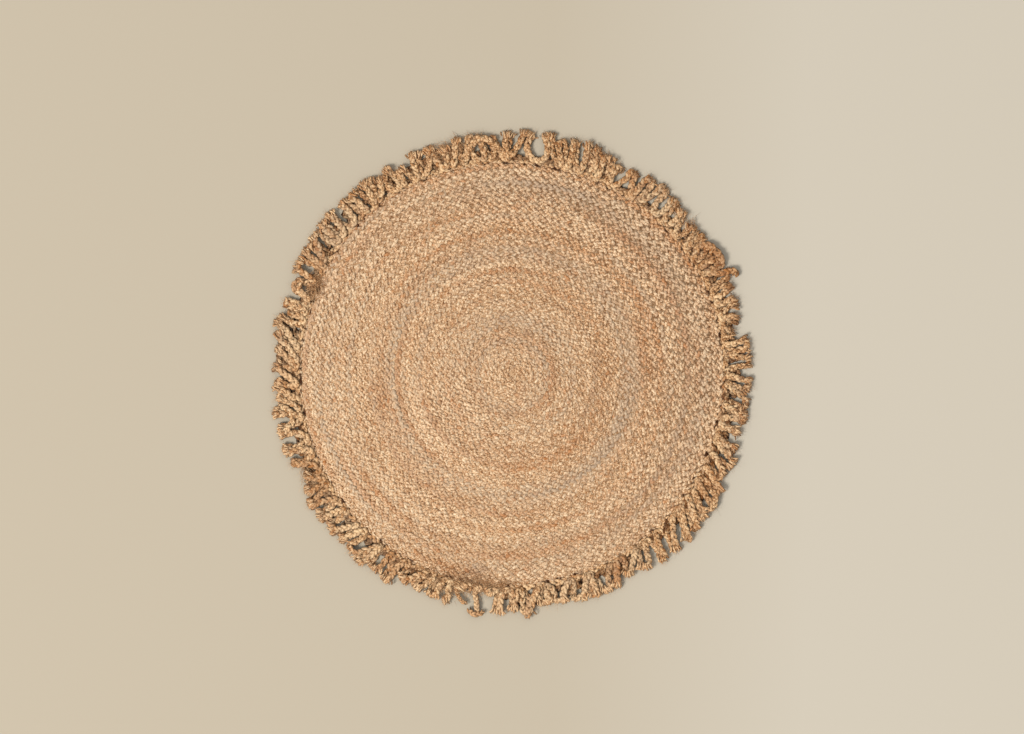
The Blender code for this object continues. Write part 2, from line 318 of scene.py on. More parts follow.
def periodic(rows: tuple, column: str, angles: np.ndarray) -> np.ndarray:
    """Blends one column of a table of angles by a cosine ease between rows, across 360 degrees.

    Args:
        rows: A table whose rows have an angle in degrees.
        column: The name of the column to read.
        angles: Angles in degrees, of any size.

    Returns:
        The column's value at each angle.
    """
    knots = np.array([row.angle for row in rows] + [rows[0].angle + 360.0])
    values = np.array([getattr(row, column) for row in rows] + [getattr(rows[0], column)])
    turned = np.mod(angles - knots[0], 360.0) + knots[0]
    later = np.clip(np.searchsorted(knots, turned, side="right"), 1, len(knots) - 1)
    share = (turned - knots[later - 1]) / (knots[later] - knots[later - 1])
    ease = (1.0 - np.cos(math.pi * share)) / 2.0
    return values[later - 1] + (values[later] - values[later - 1]) * ease


def edge_radius(angles: np.ndarray, radius: float) -> np.ndarray:
    """The radius of the disc's edge at each angle: a circle and the table's departures."""
    return radius + periodic(RIM, "out_of_round", angles)


def wander(places: np.ndarray, step: float, seed: int) -> np.ndarray:
    """A smooth random walk between -1 and 1: random knots a step apart, joined by cosine eases."""
    first = math.floor(places.min() / step)
    count = int(math.ceil(places.max() / step) - first) + 2
    knots = np.random.default_rng(seed).uniform(-1.0, 1.0, count)
    where = places / step - first
    left = np.floor(where).astype(int)
    ease = (1.0 - np.cos(math.pi * (where - left))) / 2.0
    return knots[left] * (1.0 - ease) + knots[left + 1] * ease


def unit(vectors: np.ndarray) -> np.ndarray:
    """Vectors of length 1 with the same directions."""
    return vectors / np.maximum(np.linalg.norm(vectors, axis=-1, keepdims=True), 1e-12)


def along_part(vectors: np.ndarray, directions: np.ndarray) -> np.ndarray:
    """The part of each vector that lies along its unit direction."""
    return directions * np.sum(vectors * directions, axis=-1, keepdims=True)


def polar(bearing: np.ndarray, away: np.ndarray, height: np.ndarray) -> np.ndarray:
    """Places from their bearings in radians, their distances from the centre and heights."""
    return np.stack([away * np.cos(bearing), away * np.sin(bearing), height], axis=-1)


def path_at(path: np.ndarray, knots: np.ndarray, places: np.ndarray) -> np.ndarray:
    """A path's points at some values of what runs along it, given that value at each point."""
    return np.stack([np.interp(places, knots, path[:, k]) for k in range(3)], axis=-1)


def travelled_along(path: np.ndarray) -> np.ndarray:
    """How far each point of a path is from its beginning."""
    steps = np.linalg.norm(np.diff(path, axis=0), axis=1)
    return np.concatenate([[0.0], np.cumsum(steps)])


def level_frames(paths: np.ndarray) -> tuple[np.ndarray, np.ndarray]:
    """The unit vectors across and above each point of (curves, stations, 3) paths."""
    forward = unit(np.gradient(paths, axis=1))
    side = unit(np.cross(UP, forward))
    return side, np.cross(forward, side)


@dataclass
class Skin:
    """A surface: points, four-cornered faces, many-cornered caps, and what it carries.

    Args:
        points: (n, 3) places.
        quads: (m, 4) point numbers.
        caps: (c, k) point numbers.
        atlas: (4m + ck, 2) the flat map's place for each corner of each face.
        fibre: (n, 3) distance along a strand, and the cosine and sine of the turn about it.
        carried: One value for each point, by name.
    """

    points: np.ndarray
    quads: np.ndarray
    caps: np.ndarray
    atlas: np.ndarray
    fibre: np.ndarray
    carried: dict[Carried, np.ndarray] = field(default_factory=dict)


def ring_atlas(rings: int, sides: int, caps: int) -> np.ndarray:
    """The flat map of tubes: their rings of faces side by side in rows, and the caps in the last.

    Args:
        rings: How many rings of faces there are.
        sides: The faces of a ring.
        caps: How many caps there are.

    Returns:
        (4 * rings * sides + caps * sides, 2) places from 0 to 1, none on another.
    """
    per_row = math.ceil(math.sqrt(rings * sides))
    rows = math.ceil(rings / per_row)
    lanes = rows * (sides + 1) + 1
    ring, side = np.meshgrid(np.arange(rings), np.arange(sides), indexing="ij")
    left = (ring % per_row) / per_row
    lane = (ring // per_row) * (sides + 1) + side
    across = np.stack([left, left + 1.0 / per_row, left + 1.0 / per_row, left], axis=-1)
    upward = np.stack([lane, lane, lane + 1, lane + 1], axis=-1) / lanes
    faces = np.stack([across, upward], axis=-1).reshape(-1, 2)
    turn = TURN * np.arange(sides) / sides
    middle = (np.arange(caps)[:, None] + 0.5) / caps
    cap_across = middle + 0.3 / caps * np.cos(turn)
    cap_upward = (lanes - 0.5 + 0.3 * np.sin(turn)) / lanes + np.zeros_like(middle)
    return np.concatenate([faces, np.stack([cap_across, cap_upward], axis=-1).reshape(-1, 2)])


def tubes(
    centres: np.ndarray,
    side: np.ndarray,
    above: np.ndarray,
    half_width: np.ndarray,
    half_height: np.ndarray,
    sides: int,
    along: np.ndarray,
) -> Skin:
    """Closed tubes carried along paths: centre + width cos(a) side + height sin(a) above.

    Args:
        centres: (tubes, stations, 3) paths.
        side: (tubes, stations, 3) unit vectors across each section.
        above: (tubes, stations, 3) unit vectors up each section.
        half_width: (tubes, stations) half of each section's width.
        half_height: (tubes, stations) half of each section's height.
        sides: How many sides a section has.
        along: (tubes, stations) distance along each tube.

    Returns:
        The skin of all the tubes, with flat caps on their ends and no colours carried yet.
    """
    count, stations = centres.shape[:2]
    turn = TURN * np.arange(sides) / sides
    across = (half_width[..., None] * np.cos(turn))[..., None] * side[:, :, None]
    upwards = (half_height[..., None] * np.sin(turn))[..., None] * above[:, :, None]
    points = (centres[:, :, None] + across + upwards).reshape(-1, 3)

    tube, station, corner = np.meshgrid(
        np.arange(count), np.arange(stations - 1), np.arange(sides), indexing="ij"
    )
    first = (tube * stations + station) * sides
    following = (corner + 1) % sides
    quads = np.stack(
        [first + corner, first + sides + corner, first + sides + following, first + following],
        axis=-1,
    ).reshape(-1, 4)
    begins = np.arange(count)[:, None] * stations * sides
    near = begins + np.arange(sides)
    far = begins + (stations - 1) * sides + np.arange(sides)[::-1]
    about = turn + np.zeros((count, stations, 1))
    run = along[..., None] + np.zeros_like(about)
    fibre = np.stack([run, np.cos(about), np.sin(about)], axis=-1).reshape(-1, 3)
    atlas = ring_atlas(count * (stations - 1), sides, 2 * count)
    return Skin(points, quads, np.concatenate([near, far]), atlas, fibre)


def add_piece(name: str, skin: Skin, material: bpy.types.Material) -> bpy.types.Object:
    """Puts a skin into a mesh object at the origin, shaded smooth.

    Args:
        name: The piece's name.
        skin: Its surface.
        material: Its finish.

    Returns:
        The new object.
    """
    mesh = bpy.data.meshes.new(name)
    corners = np.concatenate([skin.quads.ravel(), skin.caps.ravel()]).astype(np.int32)
    quad_starts = 4 * np.arange(len(skin.quads))
    cap_starts = 4 * len(skin.quads) + skin.caps.shape[1] * np.arange(len(skin.caps))
    starts = np.concatenate([quad_starts, cap_starts]).astype(np.int32)
    mesh.vertices.add(len(skin.points))
    mesh.vertices.foreach_set("co", skin.points.astype(np.float32).ravel())
    mesh.loops.add(len(corners))
    mesh.loops.foreach_set("vertex_index", corners)
    mesh.polygons.add(len(starts))
    mesh.polygons.foreach_set("loop_start", starts)
    mesh.update(calc_edges=True)
    mesh.shade_smooth()
    layer = mesh.uv_layers.new(name=BAKE_MAP)
    layer.uv.foreach_set("vector", skin.atlas.astype(np.float32).ravel())
    run = mesh.attributes.new("fibre", "FLOAT_VECTOR", "POINT")
    run.data.foreach_set("vector", skin.fibre.astype(np.float32).ravel())
    for key, values in skin.carried.items():
        attribute = mesh.attributes.new(key.value, "FLOAT", "POINT")
        attribute.data.foreach_set("value", values.astype(np.float32))
    mesh.materials.append(material)
    piece = bpy.data.objects.new(name, mesh)
    bpy.context.scene.collection.objects.link(piece)
    triangles = 2 * len(skin.quads) + (skin.caps.shape[1] - 2) * len(skin.caps)
    LOG.info("%s: %d triangles, faulty: %s", name, triangles, mesh.validate())
    return piece


class Shade:
    """A shader value that takes part in sums: each operator adds its Math node."""

    def __init__(self, graph: "Graph", socket: bpy.types.NodeSocket) -> None:
        """Wraps a socket of a graph."""
        self.graph = graph
        self.socket = socket

    def __add__(self, other: "Shade | float") -> "Shade":
        """The sum of two values."""
        return self.graph.math("ADD", self, other)

    def __sub__(self, other: "Shade | float") -> "Shade":
        """The difference of two values."""
        return self.graph.math("SUBTRACT", self, other)

    def __rsub__(self, other: float) -> "Shade":
        """A number less this value."""
        return self.graph.math("SUBTRACT", other, self)

    def __mul__(self, other: "Shade | float") -> "Shade":
        """The product of two values."""
        return self.graph.math("MULTIPLY", self, other)

    def __pow__(self, other: "Shade | float") -> "Shade":
        """One value to the power of another."""
        return self.graph.math("POWER", self, other)

    def clamped(self) -> "Shade":
        """This value held between 0 and 1."""
        return self.graph.math("ADD", self, 0.0, clamp=True)


class Graph:
    """The node tree of one material."""

    def __init__(self, material: bpy.types.Material) -> None:
        """Empties a material's tree."""
        material.use_nodes = True
        self.tree = material.node_tree
        self.tree.nodes.clear()

    def node(self, kind: str, settings: dict, inputs: dict) -> bpy.types.Node:
        """Adds any node.

        Args:
            kind: The node's type.
            settings: Attributes that are set first; stops sets a ramp's (place, colour) stops.
            inputs: Values or Shades for its sockets, by name or number.

        Returns:
            The new node.
        """
        made = self.tree.nodes.new(kind)
        for name, value in settings.items():
            if name == "stops":
                self.set_stops(made.color_ramp, value)
            else:
                setattr(made, name, value)
        for name, value in inputs.items():
            if isinstance(value, Shade):
                self.tree.links.new(value.socket, made.inputs[name])
            else:
                made.inputs[name].default_value = value
        return made

    @staticmethod
    def set_stops(ramp: bpy.types.ColorRamp, stops: list) -> None:
        """Gives a ramp its stops, each a place and a colour."""
        while len(ramp.elements) < len(stops):
            ramp.elements.new(1.0)
        for element, (place, colour) in zip(ramp.elements, stops):
            element.position = place
            element.color = (*colour, 1.0)

    def output(self, kind: str, settings: dict, inputs: dict, name: str | int = 0) -> Shade:
        """Adds a node and gives one of its outputs."""
        return Shade(self, self.node(kind, settings, inputs).outputs[name])

    def math(self, operation: str, *values: "Shade | float", clamp: bool = False) -> Shade:
        """A Math node on one, two or three values."""
        settings = {"operation": operation, "use_clamp": clamp}
        return self.output("ShaderNodeMath", settings, dict(enumerate(values)))

    def carried(self, key: Carried) -> Shade:
        """A value that the surface carries."""
        settings = {"attribute_name": key.value}
        return self.output("ShaderNodeAttribute", settings, {}, "Fac")

    def mix(self, share: Shade, start: "Shade | tuple", end: "Shade | tuple") -> Shade:
        """A colour a share of the way from one to another."""
        settings = {"data_type": "RGBA", "blend_type": "MIX"}
        return self.output("ShaderNodeMix", settings, {0: share, 6: start, 7: end}, 2)

    def noise(self, vector: Shade, scale: float, detail: float, roughness: float = 0.5) -> Shade:
        """Three-dimensional noise from 0 to 1."""
        inputs = {"Vector": vector, "Scale": scale, "Detail": detail, "Roughness": roughness}
        return self.output("ShaderNodeTexNoise", {}, inputs, 0)

    def parts(self, vector: Shade) -> list[Shade]:
        """The three parts of a vector."""
        split = self.node("ShaderNodeSeparateXYZ", {}, {0: vector})
        return [Shade(self, socket) for socket in split.outputs]

    def vector(self, *parts: "Shade | float") -> Shade:
        """A vector of three parts."""
        return self.output("ShaderNodeCombineXYZ", {}, dict(enumerate(parts)))


def linear(red: int, green: int, blue: int) -> tuple:
    """A colour as shown on screen, from 0 to 255, made linear."""
    shares = [value / 255.0 for value in (red, green, blue)]
    return tuple(c / 12.92 if c <= 0.04045 else ((c + 0.055) / 1.055) ** 2.4 for c in shares)


@dataclass(frozen=True)
class JuteFinish:
    """Jute yarn: two twisted plies of straw-coloured fibre.

    Args:
        name: The material's name.
        pale: The colour of clean fibre in full light.
        golden: Its usual colour.
        brown: The colour of darker batches.
        in_shade: The colour of the painted shade between strands and in the grooves between plies.
        ashen: The colour of greyed fibre.
        rusty: The colour of orange-brown fibre.
        roughness: Its mean roughness.
        sheen: How much light its loose ends scatter.
        specular: How strongly it mirrors.
        bump: How far its fibres and plies stand up.
        fibre_tone: How much paler or darker its fibres are than one another.
        bundle_tone: The same for bundles of fibre.
        speck_tone: The same for specks.
        speck_scale: How fine the specks are.
        ridge_highlight: How much paler a ply's ridge is painted, a painted highlight.
        groove_shade: How dark the painted shade in the groove between plies is.
        fibre_grain: How fine the fibres are along the strand and across it.
        bundle_grain: How fine the bundles are along it.
        relief: How high fibres, bundles and plies stand up, as shares of the bump.
        ply_unrest: How unevenly the plies wind.
        ply_pitch: The length in which a ply goes once round its strand.
        fibre_pitch: The length in which a fibre on its surface goes once round.
    """

    name: str
    pale: tuple
    golden: tuple
    brown: tuple
    in_shade: tuple
    ashen: tuple
    rusty: tuple
    roughness: float = 0.50
    sheen: float = 0.04
    specular: float = 0.15
    bump: float = 1.0 * MM
    fibre_tone: float = 0.8
    bundle_tone: float = 0.5
    speck_tone: float = 2.7
    speck_scale: float = 360.0
    ridge_highlight: float = 0.30
    groove_shade: float = 0.45
    fibre_grain: tuple = (60.0, 2.6)
    bundle_grain: float = 45.0
    relief: tuple = (0.35, 0.2, 0.7)
    ply_unrest: float = 3.0
    ply_pitch: float = 13.0 * MM
    fibre_pitch: float = 70.0 * MM

    def material(self) -> bpy.types.Material:
        """Builds the material."""
        material = bpy.data.materials.new(self.name)
        graph = Graph(material)
        run = graph.output("ShaderNodeAttribute", {"attribute_name": "fibre"}, {}, "Vector")
        place = graph.output("ShaderNodeTexCoord", {}, {}, "Object")
        along, cosine, sine = graph.parts(run)

        # Fibres: noise drawn out along the strand and fine across it, turned with the twist.
        turn = along * (TURN / self.fibre_pitch)
        over = cosine * graph.math("COSINE", turn) - sine * graph.math("SINE", turn)
        beside = cosine * graph.math("SINE", turn) + sine * graph.math("COSINE", turn)
        long, fine = self.fibre_grain
        grain = graph.vector(along * long, over * fine, beside * fine)
        fibre = graph.noise(grain, 1.0, 3.0, 0.6)
        bundle = graph.noise(graph.vector(along * self.bundle_grain, over, beside), 1.0, 2.0)
        speck = graph.noise(place, self.speck_scale, 2.0, 0.6)

        # Plies: two ridges that wind round the strand, |sin(turn about it + turn along it)|.
        ply_turn = along * (TURN / self.ply_pitch) + bundle * self.ply_unrest
        wave = sine * graph.math("COSINE", ply_turn) + cosine * graph.math("SINE", ply_turn)
        ridge = graph.math("ABSOLUTE", wave)
        ply = graph.carried(Carried.PLY)
        groove = (1.0 - ridge) ** 2.0 * ply

        tone = graph.carried(Carried.TONE) + (fibre - 0.5) * self.fibre_tone
        tone = tone + (bundle - 0.5) * self.bundle_tone + (speck - 0.5) * self.speck_tone
        # Painted highlight: each ply's ridge is painted paler.
        tone = (tone + (ridge - 0.6) * ply * self.ridge_highlight).clamped()
        stops = [(0.0, self.brown), (0.40, self.golden), (0.80, self.pale), (1.0, self.pale)]
        colour = graph.output("ShaderNodeValToRGB", {"stops": stops}, {0: tone})
        colour = graph.mix(graph.carried(Carried.ASH).clamped(), colour, (*self.ashen, 1.0))
        rust = (graph.carried(Carried.RUST) * (fibre + 0.3)).clamped()
        colour = graph.mix(rust, colour, (*self.rusty, 1.0))
        # Painted shade: low places in the plait and the grooves between plies are darkened towards
        # the shade colour.
        depth = (graph.carried(Carried.DEPTH) + groove * self.groove_shade).clamped()
        colour = graph.mix(depth, colour, (*self.in_shade, 1.0))

        low, middle, high = self.relief
        height = fibre * low + bundle * middle + ridge * ply * high
        inputs = {"Strength": 0.8, "Distance": self.bump, "Height": height}
        normal = graph.output("ShaderNodeBump", {}, inputs)
        rough = (fibre * 0.25 + (self.roughness - 0.12)).clamped()
        inputs = {
            "Base Color": colour,
            "Roughness": rough,
            "Normal": normal,
            "Specular IOR Level": self.specular,
            "Sheen Weight": self.sheen,
            "Sheen Roughness": 0.5,
        }
        shader = graph.output("ShaderNodeBsdfPrincipled", {}, inputs)
        graph.node("ShaderNodeOutputMaterial", {}, {"Surface": shader})
        return material


@dataclass
class Route:
    """A plait's way: its places and its frame, and how full it is.

    Args:
        centres: (stations, 3) places.
        side: (stations, 3) unit vectors across it.
        above: (stations, 3) unit vectors up from its face.
        along: (stations,) distance along it.
        size: (stations,) its width as a share of the full width.
        plump: (stations,) its strands' thickness as a share of the full one.
    """

    centres: np.ndarray
    side: np.ndarray
    above: np.ndarray
    along: np.ndarray
    size: np.ndarray
    plump: np.ndarray

    def part(self, first: int, last: int) -> "Route":
        """The stretch from one station up to another, whose far end is drawn in to be hidden."""
        span = slice(first, last)
        plump = self.plump[span].copy()
        plump[-1] *= 0.6
        return Route(
            self.centres[span], self.side[span], self.above[span], self.along[span],
            self.size[span], plump,
        )

    @staticmethod
    def framed(
        centres: np.ndarray, facing: np.ndarray, along: np.ndarray, roll: np.ndarray,
        size: np.ndarray,
    ) -> "Route":
        """A route whose face looks towards given directions as nearly as its way allows.

        Args:
            centres: (stations, 3) places.
            facing: Where the face should look, for all stations or for each.
            along: (stations,) distance along it.
            roll: (stations,) a further turn about the way, in radians.
            size: (stations,) its width as a share of the full width.

        Returns:
            The route, with its two ends drawn in.
        """
        forward = unit(np.gradient(centres, axis=0))
        side = unit(np.cross(facing, forward))
        above = np.cross(forward, side)
        cosine, sine = np.cos(roll)[:, None], np.sin(roll)[:, None]
        from_end = np.minimum(along - along[0], along[-1] - along)
        plump = np.clip(0.45 + 0.55 * from_end / (10.0 * MM), 0.0, 1.0)
        return Route(
            centres, side * cosine + above * sine, above * cosine - side * sine, along, size, plump
        )


@dataclass
class Yarn:
    """The sizes of a flat three-strand plait.

    Args:
        pitch: The length in which a strand comes back to its place.
        sway: How far a strand's middle goes to each side.
        lift: How far it goes up and down.
        half_width: Half of a strand's width.
        half_height: Half of its height.
        sides: The sides of its section.
        unrest: How unevenly the strands cross, in radians of their swing.
        hurry: How far the whole plait runs ahead or behind, likewise.
        thick_unrest: How much thicker or thinner a strand gets, as a share.
        lift_unrest: How far it strays up and down.
        delay: How much nearer the edge than the middle a strand is highest, in radians.
        bulge: How much thicker than its mean a strand is where it is highest.
        per_pitch: Stations for each pitch.
        ply: How clearly its strands show their plies.
    """

    pitch: float
    sway: float
    lift: float
    half_width: float
    half_height: float
    sides: int = 6
    unrest: float = 0.75
    hurry: float = 0.8
    thick_unrest: float = 0.12
    lift_unrest: float = 0.4 * MM
    delay: float = -0.30
    bulge: float = 0.20
    per_pitch: int = 10
    ply: float = 0.5

    def stations(self, length: float) -> int:
        """How many stations a route of this length takes."""
        return int(length / self.pitch * self.per_pitch) + 2

    def strands(self, route: Route, seed: int) -> tuple[Skin, np.ndarray, np.ndarray]:
        """Three strands that weave about a route.

        A strand's middle goes sway sin(p) to the side and lift sin(2p + delay) down, where p grows
        by a turn in each pitch and by a third of a turn from strand to strand.

        Args:
            route: Where the plait goes.
            seed: Chooses the unevenness.

        Returns:
            The skin, how high each of its points lies in the plait from -1 to 1, and its place
            along its strand, with the strands far apart.
        """
        along, size = route.along, route.size
        hurry = self.hurry * wander(along, 0.31, seed)
        shape = (3, len(along))
        sway, lift, wide, high = (np.empty(shape) for _ in range(4))
        for strand in range(3):
            draw = seed + 10 * (strand + 1)
            phase = TURN * (along / self.pitch + strand / 3.0) + hurry
            phase = phase + self.unrest * wander(along, 0.026, draw)
            crest = -np.sin(2.0 * phase + self.delay)
            thick = 1.0 + self.thick_unrest * wander(along, 0.030, draw + 1)
            thick = size * route.plump * thick
            sway[strand] = self.sway * size * np.sin(phase)
            stray = self.lift_unrest * wander(along, 0.017, draw + 2)
            lift[strand] = self.lift * size * crest + stray
            wide[strand] = self.half_width * thick * (1.0 + self.bulge * crest)
            high[strand] = self.half_height * thick * (1.0 + self.bulge * crest)
        middle = route.centres + route.side * sway[..., None] + route.above * lift[..., None]
        forward = unit(np.gradient(middle, axis=1))
        side = np.broadcast_to(route.side, middle.shape)
        across = unit(side - along_part(side, forward))
        upward = np.cross(forward, across)
        apart = along + STRAND_GAP * np.arange(3)[:, None]
        skin = tubes(middle, across, upward, wide, high, self.sides, apart)
        skin.points[:, 2] = np.clip(skin.points[:, 2], LOWEST, HIGHEST)
        skin.carried[Carried.PLY] = np.full(len(skin.points), self.ply)
        turn = TURN * np.arange(self.sides) / self.sides
        top = (lift[..., None] + high[..., None] * np.sin(turn)) / (self.lift + self.half_height)
        return skin, top.ravel(), np.repeat(apart.ravel(), self.sides)


def wear_and_painted_light(points: np.ndarray) -> dict:
    """What the bands and the patches add to the tone, the ash and the rust at each point, and the
    painted light that makes the side towards the light paler.
    """
    radius = np.hypot(points[:, 0], points[:, 1])
    angle = np.degrees(np.arctan2(points[:, 1], points[:, 0]))
    knots = [row.radius for row in BANDS]
    values = {
        key: np.interp(radius, knots, [getattr(row, key.value) for row in BANDS])
        for key in (Carried.TONE, Carried.ASH, Carried.RUST)
    }
    for row in PATCHES:
        offset = np.radians(np.mod(angle - row.angle + 180.0, 360.0) - 180.0) * row.radius
        near = np.exp(-((offset / row.along) ** 2) - ((radius - row.radius) / row.across) ** 2)
        for key in values:
            values[key] = values[key] + getattr(row, key.value) * near
    # Painted light: the side of the rug towards the light is painted paler, more so further out.
    lit = np.cos(np.radians(angle - LIT_ANGLE)) * np.minimum(radius / LIT_RADIUS, 1.0)
    values[Carried.TONE] = values[Carried.TONE] + LIT_TONE * lit
    values[Carried.ASH] = values[Carried.ASH] * ASH_SHARE
    values[Carried.RUST] = values[Carried.RUST] * RUST_SHARE
    return values


def yarn_colour(skin: Skin, heights: np.ndarray, strand_place: np.ndarray, seed: int) -> None:
    """Gives a skin of yarn what it carries: batches of yarn, stains and wear, painted light on the
    lit side, and painted shade in the crevices between strands.

    Args:
        skin: The skin of whole strands.
        heights: How high each point lies in the plait, from -1 to 1.
        strand_place: Each point's place along its strand.
        seed: Chooses the batches.
    """
    values = wear_and_painted_light(skin.points)
    values[Carried.TONE] = values[Carried.TONE] + YARN_TONE
    plait_place = np.mod(strand_place, STRAND_GAP)
    for row in DRIFTS:
        drift = wander(plait_place if row.shared else strand_place, row.length, seed + row.draw)
        if row.threshold is not None:
            drift = np.clip(drift - row.threshold, 0.0, 1.0)
        values[row.key] = values[row.key] + row.strength * drift
    skin.carried.update(values)
    # Painted shade: the lower a point lies in the plait, the darker it is painted.
    skin.carried[Carried.DEPTH] = CREVICE_SHADE * np.clip(1.0 - heights, 0.0, 1.6) ** 2.0


@dataclass
class Coil:
    """The disc: the plait laid in a flat coil that winds outwards clockwise.

    Args:
        radius: The mean radius of the disc's edge.
        rounds: How many rounds it has.
        top: The height of its upper side.
        yarn: The plait's sizes.
        parts: How many pieces it is made in.
        seed: Chooses the unevenness.
        start: Where the plait begins, as a distance along the coil from its first half turn.
        tail_share: How far round the last turn it goes before its tail is tucked in.
        eye_stretch: How much longer than wide the eye of the coil is.
        eye_reach: How far out from the middle that shows.
        eye_start: How far out it begins.
        waver: How far the rounds stray inwards and outwards.
        heave: How far they stray up and down.
        roll: How far the plait rolls to one side or the other, in degrees.
        gap_length: The length of the gaps between the disc and its edging, where the outer round is
            painted dark as painted shade.
        gap_share: From 1 for none to -1 for a gap everywhere.
        gap_width: How wide they are.
    """

    radius: float
    rounds: int
    top: float
    yarn: Yarn
    parts: int = 4
    seed: int = 100
    start: float = -9.6 * MM
    tail_share: float = 0.90
    eye_stretch: float = 4.5 * MM
    eye_reach: float = 50.0 * MM
    eye_start: float = 7.0 * MM
    waver: float = 0.8 * MM
    heave: float = 0.6 * MM
    roll: float = 10.0
    gap_length: float = 10.0 * MM
    gap_share: float = 0.55
    gap_width: float = 6.0 * MM

    def turns_at(self, along: np.ndarray) -> np.ndarray:
        """The turn reached at a distance along the coil: its length grows with the square."""
        pitch = self.radius / self.rounds
        return -0.5 + np.sqrt(0.25 + along / (math.pi * pitch))

    def length(self) -> float:
        """The plait's length, up to where its tail is tucked in."""
        pitch = self.radius / self.rounds
        turns = self.rounds - 1 + self.tail_share
        return math.pi * pitch * (turns**2 + turns)

    def route(self) -> Route:
        """The plait's route.

        The middle of round t lies at (t + half a round) pitches from the centre. In the last
        round the width shrinks evenly, so that the rim stays round.
        """
        length = self.length() - self.start
        along = self.start + np.linspace(0.0, length, self.yarn.stations(length))
        turns = self.turns_at(along)
        pitch = self.radius / self.rounds
        width = np.clip(self.rounds - turns, 0.0, 1.0)
        angle = -TURN * turns
        stretch = edge_radius(np.degrees(angle), self.radius) / self.radius
        reach = pitch * (turns + width / 2.0) * stretch
        settled = np.clip(turns, 0.0, 1.0)
        reach = reach + self.waver * settled * wander(along, 0.08, self.seed + 50)
        eye = self.eye_stretch * np.exp(-((reach / self.eye_reach) ** 2))
        eye = eye * (1.0 - np.exp(-((reach / self.eye_start) ** 2)))
        height = self.top / 2.0 + self.heave * wander(along, 0.12, self.seed + 51)
        centres = polar(angle, reach, height)
        centres[:, 1] += eye * np.sin(angle)
        roll = np.radians(self.roll) * wander(along, 0.10, self.seed + 52)
        size = np.minimum(0.30 + 0.70 * width**0.8, 0.62 + 0.38 * np.clip(turns + 0.4, 0.0, 1.0))
        size = size * (1.0 + 0.06 * wander(along, 0.15, self.seed + 53))
        return Route.framed(centres, UP, along, roll, size)

    def build(self, material: bpy.types.Material) -> list[bpy.types.Object]:
        """Builds the coil in pieces of equal length, each a little inside the next one."""
        route = self.route()
        count = len(route.along)
        pieces = []
        cuts = np.linspace(0, count - 1, self.parts + 1).astype(int)
        for number, (first, last) in enumerate(zip(cuts, cuts[1:]), start=1):
            part = route.part(first, min(last + 2, count))
            skin, heights, place = self.yarn.strands(part, self.seed)
            yarn_colour(skin, heights, place, self.seed + 60)
            # Painted shade in short stretches of gap along the disc's edge.
            skin.carried[Carried.DEPTH] += self.rim_gap_shade(skin.points)
            pieces.append(add_piece(f"coiled_plait_{number}", skin, material))
        return pieces

    def rim_gap_shade(self, points: np.ndarray) -> np.ndarray:
        """Painted shade: how dark each point is painted in the short gaps between the disc and its
        edging.
        """
        angle = np.arctan2(points[:, 1], points[:, 0])
        inside = edge_radius(np.degrees(angle), self.radius) - np.hypot(points[:, 0], points[:, 1])
        gap = wander(angle * self.radius, self.gap_length, self.seed + 70) > self.gap_share
        return 1.0 * (gap & (inside < self.gap_width))


def plain_colour(
    skin: Skin, points: int, tone: np.ndarray, draw: np.random.Generator, depth: np.ndarray
) -> None:
    """Gives each lock or fibre one tone, and some a touch of grey or rust.

    Args:
        skin: The skin of all of them.
        points: How many of its points each one has.
        tone: How pale each one is.
        draw: Gives the random values.
        depth: How much painted shade, as between strands, lies on each one.
    """
    count = len(tone)
    values = wear_and_painted_light(skin.points)
    ash = draw.uniform(0.0, 0.3, count)
    rust = np.clip(draw.uniform(-0.6, 0.6, count), 0.0, 1.0)
    for key, own in ((Carried.TONE, tone), (Carried.ASH, ash), (Carried.RUST, rust)):
        skin.carried[key] = np.repeat(own, points) + values[key]
    skin.carried[Carried.DEPTH] = np.repeat(depth, points)
    skin.carried[Carried.PLY] = np.zeros(count * points)


